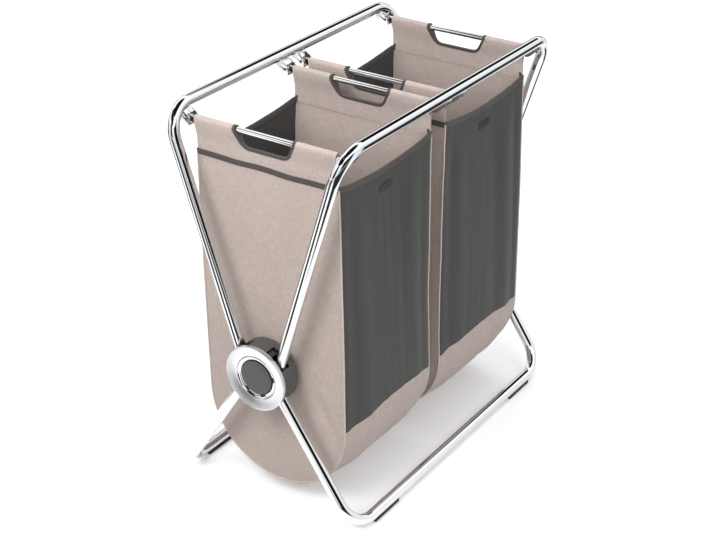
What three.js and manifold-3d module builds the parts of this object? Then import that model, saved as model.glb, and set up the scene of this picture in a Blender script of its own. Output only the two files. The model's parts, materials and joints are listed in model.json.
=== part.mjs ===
// A laundry hamper: two lift-out bags hang on rods between the rails of a folding tube frame.
// Millimetres, +Z up. X runs along the rails, the front is -Y, and the origin is the middle of
// the footprint on the floor. The object looks the same after half a turn about Z.

import * as THREE from "three";
import { mergeVertices } from "three/addons/utils/BufferGeometryUtils.js";
import Module from "manifold-3d";

const wasm = await Module();
wasm.setup();

// Frame
const legPlaneSpacing = 623.5;
const topRailSpacing = 326.4;
const bottomRailSpacing = 353.8;
const railRise = 660;
const hubRise = 241.2;
const upperLegOffset = 28.5;
const lowerLegOffset = 16;
const tubeDiameter = 19;
const tubeWall = 1.2;
const tubeBend = 50;
const foldAngle = THREE.MathUtils.degToRad(16);

// Clearances
const seatGap = 0.3;
const swingGap = 0.6;
const stopGap = 0.4;
const overrun = 2;

// Feet
const footLength = 70;
const footWidth = 15;
const footThickness = 4;
const footHeight = 9.5;
const footFromBend = 3;
const footCorner = 2;

// Hubs, measured outwards from the plane of the legs
const drumRadius = 55;
const drumWall = 3;
const drumBack = 24.8;
const drumEdge = 2.5;
const plateThickness = 2.2;
const skirtThickness = 2.6;
const skirtOpening = THREE.MathUtils.degToRad(4.5);
const skirtMeeting = THREE.MathUtils.degToRad(1.5);
const ringRadius = 57.4;
const ringBore = 39;
const ringDepth = 7.4;
const ringDish = 3.5;
const ringEdge = 0.8;
const bowlThickness = 0.8;
const bowlFloor = 33;
const bowlLip = 0.7;
const capInset = 2.5;
const capRise = 3.6;
const capCrown = 0.7;
const capWall = 1.6;
const capEdge = 1;
const boltRadius = 4;
const boltHeadRadius = 7;
const boltHeadHeight = 1.2;
const boltEnd = 1;
const nutAcross = 13;
const nutHeight = 5;
const bearingRadius = 9;
const backBossRadius = 12;
const spigotLength = 22;
const bossWidth = 16;
const bossLength = 8;
const bossStart = 10;
const lowerBossStart = 12;

// Rods and the brackets and saddles that carry them
const rodDiameter = 9.6;
const rodEndGap = 12.7;
const rodEdge = 0.8;
const rodDrop = 18;
const innerRodSpacing = 44;
const saddleInset = 18.2;
const saddleLength = 12;
const saddleWall = 2;
const saddleCorner = 4;
const trunnionRadius = 2.1;
const cheekThickness = 2.2;
const cheekGap = 1.9;
const cheekEye = 6.5;
const cheekBelly = 12;
const cheekTail = 4;
const bandThickness = 2.2;
const tieThickness = 2.2;
const tieLength = 7;

// Bags
const clothThickness = 2;
const hubBagGap = 3.45;
const flapEndGap = 5;
const bellyGap = 1.5;
const bagGround = 30.5;
const flapDrop = 50;
const mouthSag = 31;
const bellyDrop = 211;
const leanDrop = 46;
const leanLength = 260;
const leanReach = 5;
const sleeveThickness = 1.3;
const tapeHeight = 8.5;
const tapeThickness = 1;
const meshBottomRise = 2;
const meshEndMargin = 3;
const meshTopMargin = 7;
const gripHalfWidth = 55;
const gripFootHalfWidth = 41;
const gripDepth = 26;
const gripCorner = 10;
const bindingReach = 3;
const bindingThickness = 0.9;
const tagLength = 34;
const tagHeight = 9;
const tagThickness = 0.8;
const tagDrop = 4;

// Smoothness
const tubeSides = 12;
const boreSides = 8;
const bendSteps = 5;
const hubSegments = 32;
const smallSegments = 12;
const pinSegments = 8;
const rodSegments = 16;
const fineSteps = 10;
const coarseSteps = 4;
const leastSteps = 2;
const weldTolerance = 1e-4;

// Derived sizes
const tubeRadius = tubeDiameter / 2;
const tubeBore = tubeRadius - tubeWall;
const spigotRadius = tubeBore * Math.cos(Math.PI / boreSides) - seatGap;
const railSeat = (tubeRadius + seatGap) / Math.cos(Math.PI / tubeSides);
const rodRadius = rodDiameter / 2;
const bottomRailHeight = footThickness + seatGap + tubeRadius;
const topRailHeight = bottomRailHeight + railRise;
const hubHeight = bottomRailHeight + hubRise;
const legPlane = legPlaneSpacing / 2;
const topRailY = topRailSpacing / 2;
const bottomRailY = bottomRailSpacing / 2;
const straightRail = legPlane - tubeBend;
const upperLean = Math.atan2(topRailY - upperLegOffset, railRise - hubRise);
const lowerLean = Math.atan2(bottomRailY - lowerLegOffset, hubRise);
const plateFace = tubeRadius + seatGap;
const plateOuter = plateFace + plateThickness;
const plateRadius = drumRadius - drumWall - swingGap;
const skirtRadius = plateRadius * Math.cos(Math.PI / hubSegments) - seatGap;
const ringBack = plateOuter + swingGap;
const ringFront = ringBack + ringDepth;
const bowlFront = ringBack + bowlThickness;
const capRadius = bowlFloor - capInset;
const boltHole = (boltRadius + seatGap) / Math.cos(Math.PI / (2 * coarseSteps));
const rodHeight = topRailHeight - rodDrop;
const rodLength = topRailSpacing - 2 * rodEndGap;
const outerRodX = legPlane - drumBack - nutHeight - boltEnd - hubBagGap - clothThickness / 2;
const innerRodX = innerRodSpacing / 2;
const saddleBore = rodRadius + seatGap;
const saddleHalfWidth = saddleBore + saddleWall;
const cheekInner = saddleHalfWidth + cheekGap;
const cheekOuter = cheekInner + cheekThickness;
const sleeveBore = rodRadius + seatGap;
const sleeveRadius = sleeveBore + sleeveThickness;
const gripFloor = rodHeight - gripDepth;
const flapHalfWidth = topRailY - saddleInset - saddleLength / 2 - flapEndGap;
const bellyHalfWidth = topRailY - saddleInset - cheekEye - bellyGap;
const mouthEndHeight = rodHeight - flapDrop;
const bellyHeight = mouthEndHeight - bellyDrop;
const leanTop = mouthEndHeight - leanDrop;
const leanBottom = leanTop - leanLength;
const innerBulgeX = innerRodX - clothThickness / 2 - leanReach;

// Shapes drawn in the YZ plane and carried along X, and shapes in the XZ plane carried along Y
const yzAlongX = new THREE.Matrix4().makeBasis(
  new THREE.Vector3(0, 1, 0), new THREE.Vector3(0, 0, 1), new THREE.Vector3(1, 0, 0));
const xzAlongY = new THREE.Matrix4().makeBasis(
  new THREE.Vector3(1, 0, 0), new THREE.Vector3(0, 0, 1), new THREE.Vector3(0, -1, 0));

function carried(shape, length, curveSegments) {
  return new THREE.ExtrudeGeometry(shape, { depth: length, bevelEnabled: false, curveSegments });
}

function alongX(shape, from, to, steps = coarseSteps) {
  return carried(shape, to - from, steps).applyMatrix4(yzAlongX).translate(from, 0, 0);
}

function alongY(shape, from, to, steps = coarseSteps) {
  return carried(shape, to - from, steps).applyMatrix4(xzAlongY).translate(0, to, 0);
}

// A turned piece on the X axis, from points of radius and place along X
function turned(points, segments) {
  const profile = points.map(([radius, place]) => new THREE.Vector2(radius, place));
  profile.push(profile[0].clone());
  return new THREE.LatheGeometry(profile, segments).rotateZ(-Math.PI / 2);
}

function rodBetween(start, end, radius, segments) {
  const reach = end.clone().sub(start);
  const turn = new THREE.Quaternion().setFromUnitVectors(
    new THREE.Vector3(0, 1, 0), reach.clone().normalize());
  const middle = start.clone().add(end).divideScalar(2);
  return new THREE.CylinderGeometry(radius, radius, reach.length(), segments)
    .applyQuaternion(turn)
    .translate(middle.x, middle.y, middle.z);
}

function polygon(points) {
  return new THREE.Shape(points.map(([x, y]) => new THREE.Vector2(x, y)));
}

function disc(radius) {
  return new THREE.Shape().absarc(0, 0, radius, 0, 2 * Math.PI, false);
}

// A slice of a ring, with its angles counted from the top towards +Y
function ringSlice(inner, outer, from, to) {
  const start = Math.PI / 2 - to;
  const end = Math.PI / 2 - from;
  const shape = new THREE.Shape();
  shape.absarc(0, 0, outer, start, end, false);
  shape.absarc(0, 0, inner, end, start, true);
  shape.closePath();
  return shape;
}

// Joining and cutting
function solid(geometry) {
  const bare = geometry.index ? geometry.toNonIndexed() : geometry.clone();
  bare.deleteAttribute("normal");
  bare.deleteAttribute("uv");
  const welded = mergeVertices(bare, weldTolerance);
  return new wasm.Manifold(new wasm.Mesh({
    numProp: 3,
    vertProperties: welded.attributes.position.array,
    triVerts: new Uint32Array(welded.index.array),
  }));
}

function surface(body) {
  const mesh = body.getMesh();
  const geometry = new THREE.BufferGeometry();
  geometry.setAttribute("position", new THREE.BufferAttribute(mesh.vertProperties, 3));
  geometry.setIndex(new THREE.BufferAttribute(mesh.triVerts, 1));
  const faceted = geometry.toNonIndexed();
  faceted.computeVertexNormals();
  return faceted;
}

function joined(geometries) {
  return geometries.map(solid).reduce((whole, piece) => whole.add(piece));
}

// Materials
function finish(color, roughness, metalness) {
  return new THREE.MeshStandardMaterial({ color, roughness, metalness });
}

const chrome = finish(0xdfe2e4, 0.06, 1);
const satin = finish(0xc8cbcd, 0.32, 1);
const zincSteel = finish(0xa9acae, 0.4, 1);
const greyPlastic = finish(0x595a58, 0.5, 0);
const darkPlastic = finish(0x3a3a39, 0.45, 0);
const rubber = finish(0x242424, 0.8, 0);
const canvas = finish(0xb9aaa0, 0.9, 0);
const netting = finish(0x555552, 0.85, 0);
const tape = finish(0x655f5a, 0.85, 0);

const hamper = new THREE.Group();

function piece(parent, name, geometry, material) {
  const mesh = new THREE.Mesh(geometry, material);
  mesh.name = name;
  parent.add(mesh);
  return mesh;
}

// Tube axis: straight runs between corners, each corner rounded to the bend radius.
// A straight run is one step and a bend is several, so its steps aren't evenly long.
class BentAxis extends THREE.Curve {
  constructor(corners) {
    super();
    this.runs = [];
    this.steps = 0;
    let from = corners[0];
    for (let i = 1; i < corners.length - 1; i += 1) {
      const towards = corners[i].clone().sub(corners[i - 1]).normalize();
      const away = corners[i + 1].clone().sub(corners[i]).normalize();
      const turn = towards.angleTo(away);
      const setback = tubeBend * Math.tan(turn / 2);
      const enter = corners[i].clone().addScaledVector(towards, -setback);
      const inward = away.clone().addScaledVector(towards, -towards.dot(away)).normalize();
      const centre = enter.clone().addScaledVector(inward, tubeBend);
      this.addRun(1, this.straight(from, enter));
      this.addRun(bendSteps, (share) => centre.clone()
        .addScaledVector(inward, -tubeBend * Math.cos(turn * share))
        .addScaledVector(towards, tubeBend * Math.sin(turn * share)));
      from = corners[i].clone().addScaledVector(away, setback);
    }
    this.addRun(1, this.straight(from, corners[corners.length - 1]));
  }

  straight(from, to) {
    return (share) => from.clone().lerp(to, share);
  }

  addRun(steps, pointAt) {
    this.runs.push({ first: this.steps, steps, pointAt });
    this.steps += steps;
  }

  getPoint(t) {
    const step = t * this.steps;
    const run = this.runs.findLast((each) => step >= each.first) ?? this.runs[0];
    return run.pointAt((step - run.first) / run.steps);
  }

  getUtoTmapping(u) {
    return u;
  }
}

function ringSection(radius, bore) {
  const section = new THREE.Shape();
  for (let i = 0; i < tubeSides; i += 1) {
    const angle = (2 * Math.PI * i) / tubeSides;
    const place = [radius * Math.cos(angle), radius * Math.sin(angle)];
    if (i === 0) section.moveTo(...place);
    else section.lineTo(...place);
  }
  section.closePath();
  if (bore) {
    const hole = new THREE.Path();
    for (let i = 0; i < boreSides; i += 1) {
      const angle = (2 * Math.PI * i) / boreSides;
      const place = [bore * Math.cos(angle), bore * Math.sin(angle)];
      if (i === 0) hole.moveTo(...place);
      else hole.lineTo(...place);
    }
    hole.closePath();
    section.holes.push(hole);
  }
  return section;
}

function bentTube(corners, radius, bore) {
  const axis = new BentAxis(corners);
  return new THREE.ExtrudeGeometry(ringSection(radius, bore), {
    steps: axis.steps, extrudePath: axis, bevelEnabled: false,
  });
}

// Legs, on the back side of the hub: a place on the leg's axis, counted from hub height
function upperLegAt(distance) {
  return new THREE.Vector3(0,
    upperLegOffset + distance * Math.sin(upperLean), distance * Math.cos(upperLean));
}

function lowerLegAt(distance) {
  return new THREE.Vector3(0,
    lowerLegOffset + distance * Math.sin(lowerLean), -distance * Math.cos(lowerLean));
}

const upperTubeStart = bossStart + bossLength + seatGap;
const lowerTubeStart = lowerBossStart + bossLength + seatGap;

function legFrame(legStart, railY, railHeight) {
  const foot = legStart.clone().add(new THREE.Vector3(legPlane, 0, hubHeight));
  const corner = new THREE.Vector3(legPlane, railY, railHeight);
  const mirrored = (point) => new THREE.Vector3(-point.x, point.y, point.z);
  return bentTube([mirrored(foot), mirrored(corner), corner, foot],
    tubeRadius, tubeBore);
}

const upperTube = legFrame(upperLegAt(upperTubeStart), topRailY, topRailHeight);
const lowerTube = legFrame(lowerLegAt(lowerTubeStart), bottomRailY, bottomRailHeight);
piece(hamper, "back_upper_tube", upperTube, chrome);
piece(hamper, "back_lower_tube", lowerTube, chrome);
piece(hamper, "front_upper_tube", upperTube, chrome).rotation.z = Math.PI;
piece(hamper, "front_lower_tube", lowerTube, chrome).rotation.z = Math.PI;

// Feet: rubber strips under the bottom rails, hollowed to the tube
function footStrip() {
  const half = footWidth / 2;
  const section = new THREE.Shape();
  section.moveTo(-half + footCorner, 0);
  section.lineTo(half - footCorner, 0);
  section.quadraticCurveTo(half, 0, half, footCorner);
  section.lineTo(half, footHeight);
  section.lineTo(-half, footHeight);
  section.lineTo(-half, footCorner);
  section.quadraticCurveTo(-half, 0, -half + footCorner, 0);
  const groove = rodBetween(new THREE.Vector3(-footLength, 0, bottomRailHeight),
    new THREE.Vector3(footLength, 0, bottomRailHeight), railSeat, tubeSides);
  return surface(solid(alongX(section, -footLength / 2, footLength / 2, coarseSteps))
    .subtract(solid(groove)));
}

const foot = footStrip();
for (const [row, side] of [["back", 1], ["front", -1]]) {
  for (const [end, way] of [["near", -1], ["far", 1]]) {
    piece(hamper, `${row}_${end}_foot`, foot, rubber)
      .position.set(way * (straightRail - footFromBend - footLength / 2), side * bottomRailY, 0);
  }
}

// Hub angles: where a leg's edges leave the drum, counted from the vertical
function legEdges(offset, lean) {
  const reach = offset * Math.cos(lean);
  return {
    inner: lean + Math.asin((reach - tubeRadius) / drumRadius),
    outer: lean + Math.asin((reach + tubeRadius) / (drumRadius - drumWall)),
  };
}

const upperEdges = legEdges(upperLegOffset, upperLean);
const lowerEdges = legEdges(lowerLegOffset, lowerLean);

// A slice stands at the top or, mirrored in the hub's axis plane, at the bottom
function hubSlice(inner, outer, from, to, xFrom, xTo, ySide, zSide) {
  const slice = solid(alongX(ringSlice(inner, outer, from, to), xFrom, xTo, leastSteps));
  const turnedSlice = zSide < 0 ? slice.mirror([0, 0, 1]) : slice;
  return ySide < 0 ? turnedSlice.mirror([0, 1, 0]) : turnedSlice;
}

// Drum: a cup that is open towards the ring, with a slot for each leg.
// A slot's outer end stops its leg, and the rest of it is the leg's way when the frame folds.
function drumBody() {
  const inside = drumRadius - drumWall;
  const rim = ringBack - seatGap;
  const floorTop = drumWall - drumBack;
  const cup = solid(turned([
    [boltHole, -drumBack],
    [drumRadius - drumEdge, -drumBack],
    [drumRadius, -drumBack + drumEdge],
    [drumRadius, rim],
    [inside, rim],
    [inside, floorTop],
    [backBossRadius, floorTop],
    [backBossRadius, -plateOuter - seatGap],
    [boltHole, -plateOuter - seatGap],
  ], hubSegments));
  const slotSides = [[upperEdges, 1], [lowerEdges, -1]];
  let body = cup;
  for (const [edges, zSide] of slotSides) {
    for (const ySide of [1, -1]) {
      body = body.subtract(hubSlice(inside - overrun, drumRadius + overrun,
        edges.inner - foldAngle - stopGap / drumRadius, edges.outer + stopGap / drumRadius,
        -plateFace - swingGap, rim + overrun, ySide, zSide));
    }
  }
  return surface(body);
}

// Ring: satin, dished towards its bore
function ringBody() {
  return turned([
    [ringBore, ringBack],
    [ringRadius - ringEdge, ringBack],
    [ringRadius, ringBack + ringEdge],
    [ringRadius, ringFront - ringEdge],
    [ringRadius - ringEdge, ringFront],
    [ringBore + ringEdge, ringFront - ringDish],
    [ringBore, ringFront - ringDish - ringEdge],
  ], hubSegments);
}

// Bowl: the bright pan inside the ring, with a curved wall that ends in a lip
const wallShares = [1 / 3, 2 / 3, 1];
function bowlBody() {
  const lipRadius = ringBore - seatGap;
  const lipFront = ringFront - ringDish;
  const wallRise = lipFront - bowlFront;
  const wallReach = lipRadius - bowlLip - bowlFloor;
  const wall = wallShares.map((share) => [
    bowlFloor + wallReach * Math.sin((share * Math.PI) / 2),
    bowlFront + wallRise * (1 - Math.cos((share * Math.PI) / 2)),
  ]);
  return turned([
    [boltHole, ringBack],
    [lipRadius, ringBack],
    [lipRadius, lipFront],
    ...wall.reverse(),
    [bowlFloor, bowlFront],
    [boltHole, bowlFront],
  ], hubSegments);
}

// Cap: a low crowned button over the bolt's head
function capBody() {
  const foot = bowlFront + seatGap;
  const front = foot + capRise;
  return turned([
    [0, front],
    [0, front - capWall],
    [capRadius - capWall, front - capCrown - capWall],
    [capRadius - capWall, foot],
    [capRadius, foot],
    [capRadius, front - capCrown - capEdge],
    [capRadius - capEdge, front - capCrown],
    [capRadius / 2, front - capCrown / 4],
  ], hubSegments);
}

// Bolt and nut: they hold the drum, both plates and the bowl on one axis
function boltBody() {
  const seat = bowlFront + seatGap;
  const end = -drumBack - seatGap - nutHeight - boltEnd;
  return turned([
    [0, end],
    [boltRadius, end],
    [boltRadius, seat],
    [boltHeadRadius, seat],
    [boltHeadRadius, seat + boltHeadHeight / 2],
    [boltHeadRadius - boltHeadHeight / 2, seat + boltHeadHeight],
    [0, seat + boltHeadHeight],
  ], smallSegments);
}

function nutBody() {
  const across = nutAcross / 2 / Math.cos(Math.PI / 6);
  const outline = polygon([0, 1, 2, 3, 4, 5].map((side) => [
    across * Math.cos((side * Math.PI) / 3), across * Math.sin((side * Math.PI) / 3),
  ]));
  outline.holes.push(new THREE.Path().absarc(0, 0, boltHole, 0, 2 * Math.PI, false));
  const top = -drumBack - seatGap;
  return alongX(outline, top - nutHeight, top);
}

// Plates: each turns on the bolt and carries one upper leg and the lower leg across from it.
// A leg slides over its spigot, and a skirt behind the drum's slot turns with the leg.
function plateBody(face, outwards, ySide) {
  const plateFrom = outwards > 0 ? face : -face - plateThickness;
  const skirtTo = -outwards * (plateFace - swingGap);
  const from = Math.min(plateFrom, skirtTo);
  const to = Math.max(plateFrom + plateThickness, skirtTo);
  const plate = disc(plateRadius);
  plate.holes.push(new THREE.Path().absarc(0, 0, boltHole, 0, 2 * Math.PI, false));
  let body = solid(alongX(plate, plateFrom, plateFrom + plateThickness, hubSegments / 2));
  if (outwards > 0) {
    const bearing = disc(bearingRadius);
    bearing.holes.push(new THREE.Path().absarc(0, 0, boltHole, 0, 2 * Math.PI, false));
    body = body.add(solid(alongX(bearing, seatGap - plateFace, plateFrom + plateThickness)));
  }
  const legs = [
    { at: upperLegAt, start: bossStart, edges: upperEdges, lean: upperLean, ySide, zSide: 1 },
    { at: lowerLegAt, start: lowerBossStart, edges: lowerEdges, lean: -lowerLean, ySide: -ySide, zSide: -1 },
  ];
  for (const leg of legs) {
    const skirt = hubSlice(skirtRadius - skirtThickness, skirtRadius,
      foldAngle + skirtMeeting, leg.edges.inner - skirtOpening, from, to, leg.ySide, leg.zSide);
    const bossHalf = bossWidth / 2;
    const bossFrom = outwards > 0 ? -bossHalf : plateFrom;
    const bossTo = outwards > 0 ? plateFrom + plateThickness : bossHalf;
    const block = polygon([
      [-bossHalf, 0], [bossHalf, 0], [bossHalf, bossLength], [-bossHalf, bossLength],
    ]);
    const boss = solid(alongX(block, bossFrom, bossTo)
      .rotateX(leg.zSide > 0 ? -leg.lean : Math.PI - leg.lean)
      .translate(0, leg.at(leg.start).y, leg.at(leg.start).z))
      .intersect(solid(alongX(disc(plateRadius), bossFrom, bossTo, hubSegments / 2)));
    const spigot = solid(rodBetween(leg.at(leg.start + bossLength / 2),
      leg.at(leg.start + bossLength + spigotLength),
      spigotRadius, smallSegments));
    const arm = boss.add(spigot);
    body = body.add(skirt).add(leg.ySide < 0 ? arm.mirror([0, 1, 0]) : arm);
  }
  return surface(body);
}

const hubPieces = [
  ["drum", drumBody(), greyPlastic],
  ["ring", ringBody(), satin],
  ["bowl", bowlBody(), chrome],
  ["cap", capBody(), greyPlastic],
  ["bolt", boltBody(), zincSteel],
  ["nut", nutBody(), zincSteel],
  ["outer_plate", plateBody(plateFace, 1, 1), zincSteel],
  ["inner_plate", plateBody(plateFace, -1, -1), zincSteel],
];
for (const [end, way] of [["near", -1], ["far", 1]]) {
  const hub = new THREE.Group();
  hub.position.set(way * legPlane, 0, hubHeight);
  hub.rotation.z = way > 0 ? 0 : Math.PI;
  hamper.add(hub);
  for (const [name, geometry, material] of hubPieces) {
    piece(hub, `${end}_hub_${name}`, geometry, material);
  }
}

// Brackets, drawn from the rail's axis with the bag towards -Y and, at a rail's end, the
// bend towards bendWay along X
function railNear(bendWay) {
  if (bendWay === 0) {
    return bentTube([new THREE.Vector3(-tubeBend, 0, 0), new THREE.Vector3(tubeBend, 0, 0)],
      railSeat, 0);
  }
  const corner = new THREE.Vector3(bendWay * (legPlane - outerRodX), 0, 0);
  const down = new THREE.Vector3(0, -Math.sin(upperLean), -Math.cos(upperLean));
  return bentTube([
    new THREE.Vector3(-bendWay * 2 * tubeBend, 0, 0),
    corner,
    corner.clone().addScaledVector(down, 2 * tubeBend),
  ], railSeat, 0);
}

// Cheek: from a tail under the rail, round the belly to the eye that holds the saddle's pin
function cheekShape() {
  const eyeY = -saddleInset;
  const eyeZ = -rodDrop;
  const shape = new THREE.Shape();
  shape.moveTo(cheekTail, -tubeRadius / 2);
  shape.lineTo(cheekTail, -tubeRadius - bandThickness);
  shape.quadraticCurveTo(eyeY + saddleInset / 2, eyeZ - cheekBelly, eyeY, eyeZ - cheekBelly);
  shape.quadraticCurveTo(eyeY - cheekEye, eyeZ - cheekBelly, eyeY - cheekEye, eyeZ);
  shape.absarc(eyeY, eyeZ, cheekEye, Math.PI, Math.PI / 2, true);
  shape.lineTo(-tubeRadius, -tubeRadius / 2);
  shape.closePath();
  return shape;
}

// Band under the rail and tie below the saddle's swing: they join the two cheeks
function bandShape() {
  const shape = new THREE.Shape();
  shape.absarc(0, 0, tubeRadius + bandThickness, -Math.PI * 0.55, -Math.PI * 0.38, false);
  shape.absarc(0, 0, tubeRadius, -Math.PI * 0.38, -Math.PI * 0.55, true);
  shape.closePath();
  return shape;
}

function tieShape() {
  const saddleSwing = saddleHalfWidth * Math.cos(foldAngle)
    + (saddleLength / 2) * Math.sin(foldAngle);
  const top = -rodDrop - saddleSwing - swingGap;
  return polygon([
    [-saddleInset - tieLength / 2, top - tieThickness],
    [-saddleInset + tieLength / 2, top - tieThickness],
    [-saddleInset + tieLength / 2, top],
    [-saddleInset - tieLength / 2, top],
  ]);
}

function bracketBody(bendWay) {
  const eye = rodBetween(
    new THREE.Vector3(-cheekOuter - overrun, -saddleInset, -rodDrop),
    new THREE.Vector3(cheekOuter + overrun, -saddleInset, -rodDrop),
    trunnionRadius + seatGap, pinSegments);
  return surface(joined([
    alongX(cheekShape(), -cheekOuter, -cheekInner),
    alongX(cheekShape(), cheekInner, cheekOuter),
    alongX(bandShape(), -cheekInner - cheekThickness / 2, cheekInner + cheekThickness / 2, leastSteps),
    alongX(tieShape(), -cheekInner - cheekThickness / 2, cheekInner + cheekThickness / 2),
  ]).subtract(solid(railNear(bendWay))).subtract(solid(eye)));
}

// Saddle: a cradle for the rod, open at the top, that swings between the cheeks on two pins
function saddleBody() {
  const half = saddleLength / 2;
  const outline = new THREE.Shape();
  outline.moveTo(-saddleHalfWidth, rodRadius);
  outline.absarc(0, 0, saddleHalfWidth, Math.PI, 2 * Math.PI, false);
  outline.lineTo(saddleHalfWidth, rodRadius);
  outline.lineTo(saddleBore, rodRadius);
  outline.absarc(0, 0, saddleBore, 0, Math.PI, true);
  outline.lineTo(-saddleBore, rodRadius);
  outline.closePath();
  const side = new THREE.Shape();
  side.moveTo(-half, -saddleHalfWidth - overrun);
  side.lineTo(half, -saddleHalfWidth - overrun);
  side.lineTo(half, rodRadius - saddleCorner);
  side.quadraticCurveTo(half, rodRadius, half - saddleCorner, rodRadius);
  side.lineTo(saddleCorner - half, rodRadius);
  side.quadraticCurveTo(-half, rodRadius, -half, rodRadius - saddleCorner);
  side.closePath();
  const cradle = solid(alongY(outline, -half, half))
    .intersect(solid(alongX(side, -cheekOuter, cheekOuter, leastSteps)));
  const pin = (way) => solid(rodBetween(
    new THREE.Vector3(way * (saddleBore + saddleWall / 2), 0, 0),
    new THREE.Vector3(way * cheekOuter, 0, 0), trunnionRadius, pinSegments));
  return surface(cradle.add(pin(1)).add(pin(-1)));
}

const saddle = saddleBody();
const rodPlaces = [
  [-outerRodX, -1], [-innerRodX, 0], [innerRodX, 0], [outerRodX, 1],
];
for (const [row, way] of [["back", 1], ["front", -1]]) {
  rodPlaces.forEach(([x, bendWay], index) => {
    const seat = new THREE.Group();
    seat.position.set(x, way * topRailY, topRailHeight);
    seat.rotation.z = way > 0 ? 0 : Math.PI;
    hamper.add(seat);
    piece(seat, `${row}_bracket_${index + 1}`, bracketBody(way * bendWay), chrome);
    piece(seat, `${row}_saddle_${index + 1}`, saddle, darkPlastic)
      .position.set(0, -saddleInset, -rodDrop);
  });
}

// Bags, drawn for the far bag: its outer end towards +X and its inner end next to the middle

// Section across the bag: flaps at the top, a half round at the bottom, drawn in by inset
function bagSection(inset, top) {
  const flap = flapHalfWidth - inset;
  const belly = bellyHalfWidth - inset;
  const arcCentre = bagGround + bellyHalfWidth;
  const shape = new THREE.Shape();
  shape.moveTo(flap, top);
  shape.lineTo(-flap, top);
  shape.lineTo(-flap, mouthEndHeight);
  shape.lineTo(-belly, bellyHeight);
  shape.absarc(0, arcCentre, belly, Math.PI, 2 * Math.PI, false);
  shape.lineTo(belly, bellyHeight);
  shape.lineTo(flap, mouthEndHeight);
  shape.closePath();
  return shape;
}

// Section along the bag: the inner end leans a little towards the other bag below the mouth
function bagLength(inset, top) {
  const skin = clothThickness / 2 - inset;
  const bottom = bagGround - overrun;
  return polygon([
    [innerBulgeX + inset, bottom],
    [outerRodX + skin, bottom],
    [outerRodX + skin, top],
    [innerRodX - skin, top],
    [innerRodX - skin, leanTop],
    [innerBulgeX + inset, leanBottom],
  ]);
}

function bagBlock(inset, top) {
  return solid(alongX(bagSection(inset, top), 0, legPlane, fineSteps))
    .intersect(solid(alongY(bagLength(inset, top), -bottomRailY, bottomRailY)));
}

// Region between two copies of the mouth's sagging edge, each lowered by its own drop
function mouthBand(lowDrop, highDrop, from, to) {
  const shape = new THREE.Shape();
  const middle = (from + to) / 2;
  shape.moveTo(from, mouthEndHeight - lowDrop);
  shape.quadraticCurveTo(middle, mouthEndHeight - 2 * mouthSag - lowDrop, to, mouthEndHeight - lowDrop);
  shape.lineTo(to, mouthEndHeight - highDrop);
  shape.quadraticCurveTo(middle, mouthEndHeight - 2 * mouthSag - highDrop, from, mouthEndHeight - highDrop);
  shape.closePath();
  return shape;
}

// Grip: the notch in a flap below the rod, grown by grow all round
function gripShape(grow) {
  const top = rodHeight + sleeveRadius + overrun;
  const wide = gripHalfWidth + grow;
  const narrow = gripFootHalfWidth + grow;
  const floor = gripFloor - grow;
  const corner = gripCorner + grow;
  const slope = (wide - narrow) / (rodHeight - gripFloor);
  const shape = new THREE.Shape();
  shape.moveTo(-wide, top);
  shape.lineTo(-wide, rodHeight);
  shape.lineTo(-narrow - slope * corner, floor + corner);
  shape.quadraticCurveTo(-narrow, floor, corner - narrow, floor);
  shape.lineTo(narrow - corner, floor);
  shape.quadraticCurveTo(narrow, floor, narrow + slope * corner, floor + corner);
  shape.lineTo(wide, rodHeight);
  shape.lineTo(wide, top);
  shape.closePath();
  return shape;
}

// Netting window in a side wall, shrunk by shrink: it keeps one distance to both end panels
function windowBlock(shrink, from, to) {
  const margin = meshEndMargin + shrink;
  const left = innerRodX + margin;
  const right = outerRodX - margin;
  const low = bagGround + bellyHalfWidth + meshBottomRise + shrink;
  const shape = new THREE.Shape();
  const middle = (innerRodX + outerRodX) / 2;
  const high = mouthEndHeight - meshTopMargin - shrink;
  shape.moveTo(innerBulgeX + margin, low);
  shape.lineTo(right, low);
  shape.lineTo(right, high);
  shape.quadraticCurveTo(middle, high - 2 * mouthSag, left, high);
  shape.lineTo(left, leanTop);
  shape.lineTo(innerBulgeX + margin, leanBottom);
  shape.closePath();
  return solid(alongY(shape, from, to, fineSteps));
}

function sleeveAt(x, radius, halfLength) {
  return solid(rodBetween(new THREE.Vector3(x, -halfLength, rodHeight),
    new THREE.Vector3(x, halfLength, rodHeight), radius, smallSegments));
}

function bagShell() {
  const tall = rodHeight + overrun;
  const mouth = solid(alongY((() => {
    const from = innerRodX + clothThickness / 2;
    const to = outerRodX - clothThickness / 2;
    const shape = new THREE.Shape();
    shape.moveTo(from, mouthEndHeight);
    shape.quadraticCurveTo((from + to) / 2, mouthEndHeight - 2 * mouthSag, to, mouthEndHeight);
    shape.lineTo(to, tall + overrun);
    shape.lineTo(from, tall + overrun);
    shape.closePath();
    return shape;
  })(), -bottomRailY, bottomRailY, fineSteps));
  return bagBlock(0, rodHeight).subtract(bagBlock(clothThickness, tall)).subtract(mouth);
}

const shell = bagShell();

function canvasBody() {
  let body = shell;
  for (const x of [innerRodX, outerRodX]) {
    body = body.add(sleeveAt(x, sleeveRadius, flapHalfWidth));
  }
  for (const x of [innerRodX, outerRodX]) {
    body = body.subtract(sleeveAt(x, sleeveBore, flapHalfWidth + overrun));
  }
  const grip = solid(alongX(gripShape(0), 0, legPlane));
  return surface(body.subtract(grip)
    .subtract(windowBlock(0, -bottomRailY, bottomRailY)));
}

function nettingBody(way) {
  const from = way > 0 ? 0 : -bottomRailY;
  const to = way > 0 ? bottomRailY : 0;
  return surface(shell.intersect(windowBlock(seatGap, from, to)));
}

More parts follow.
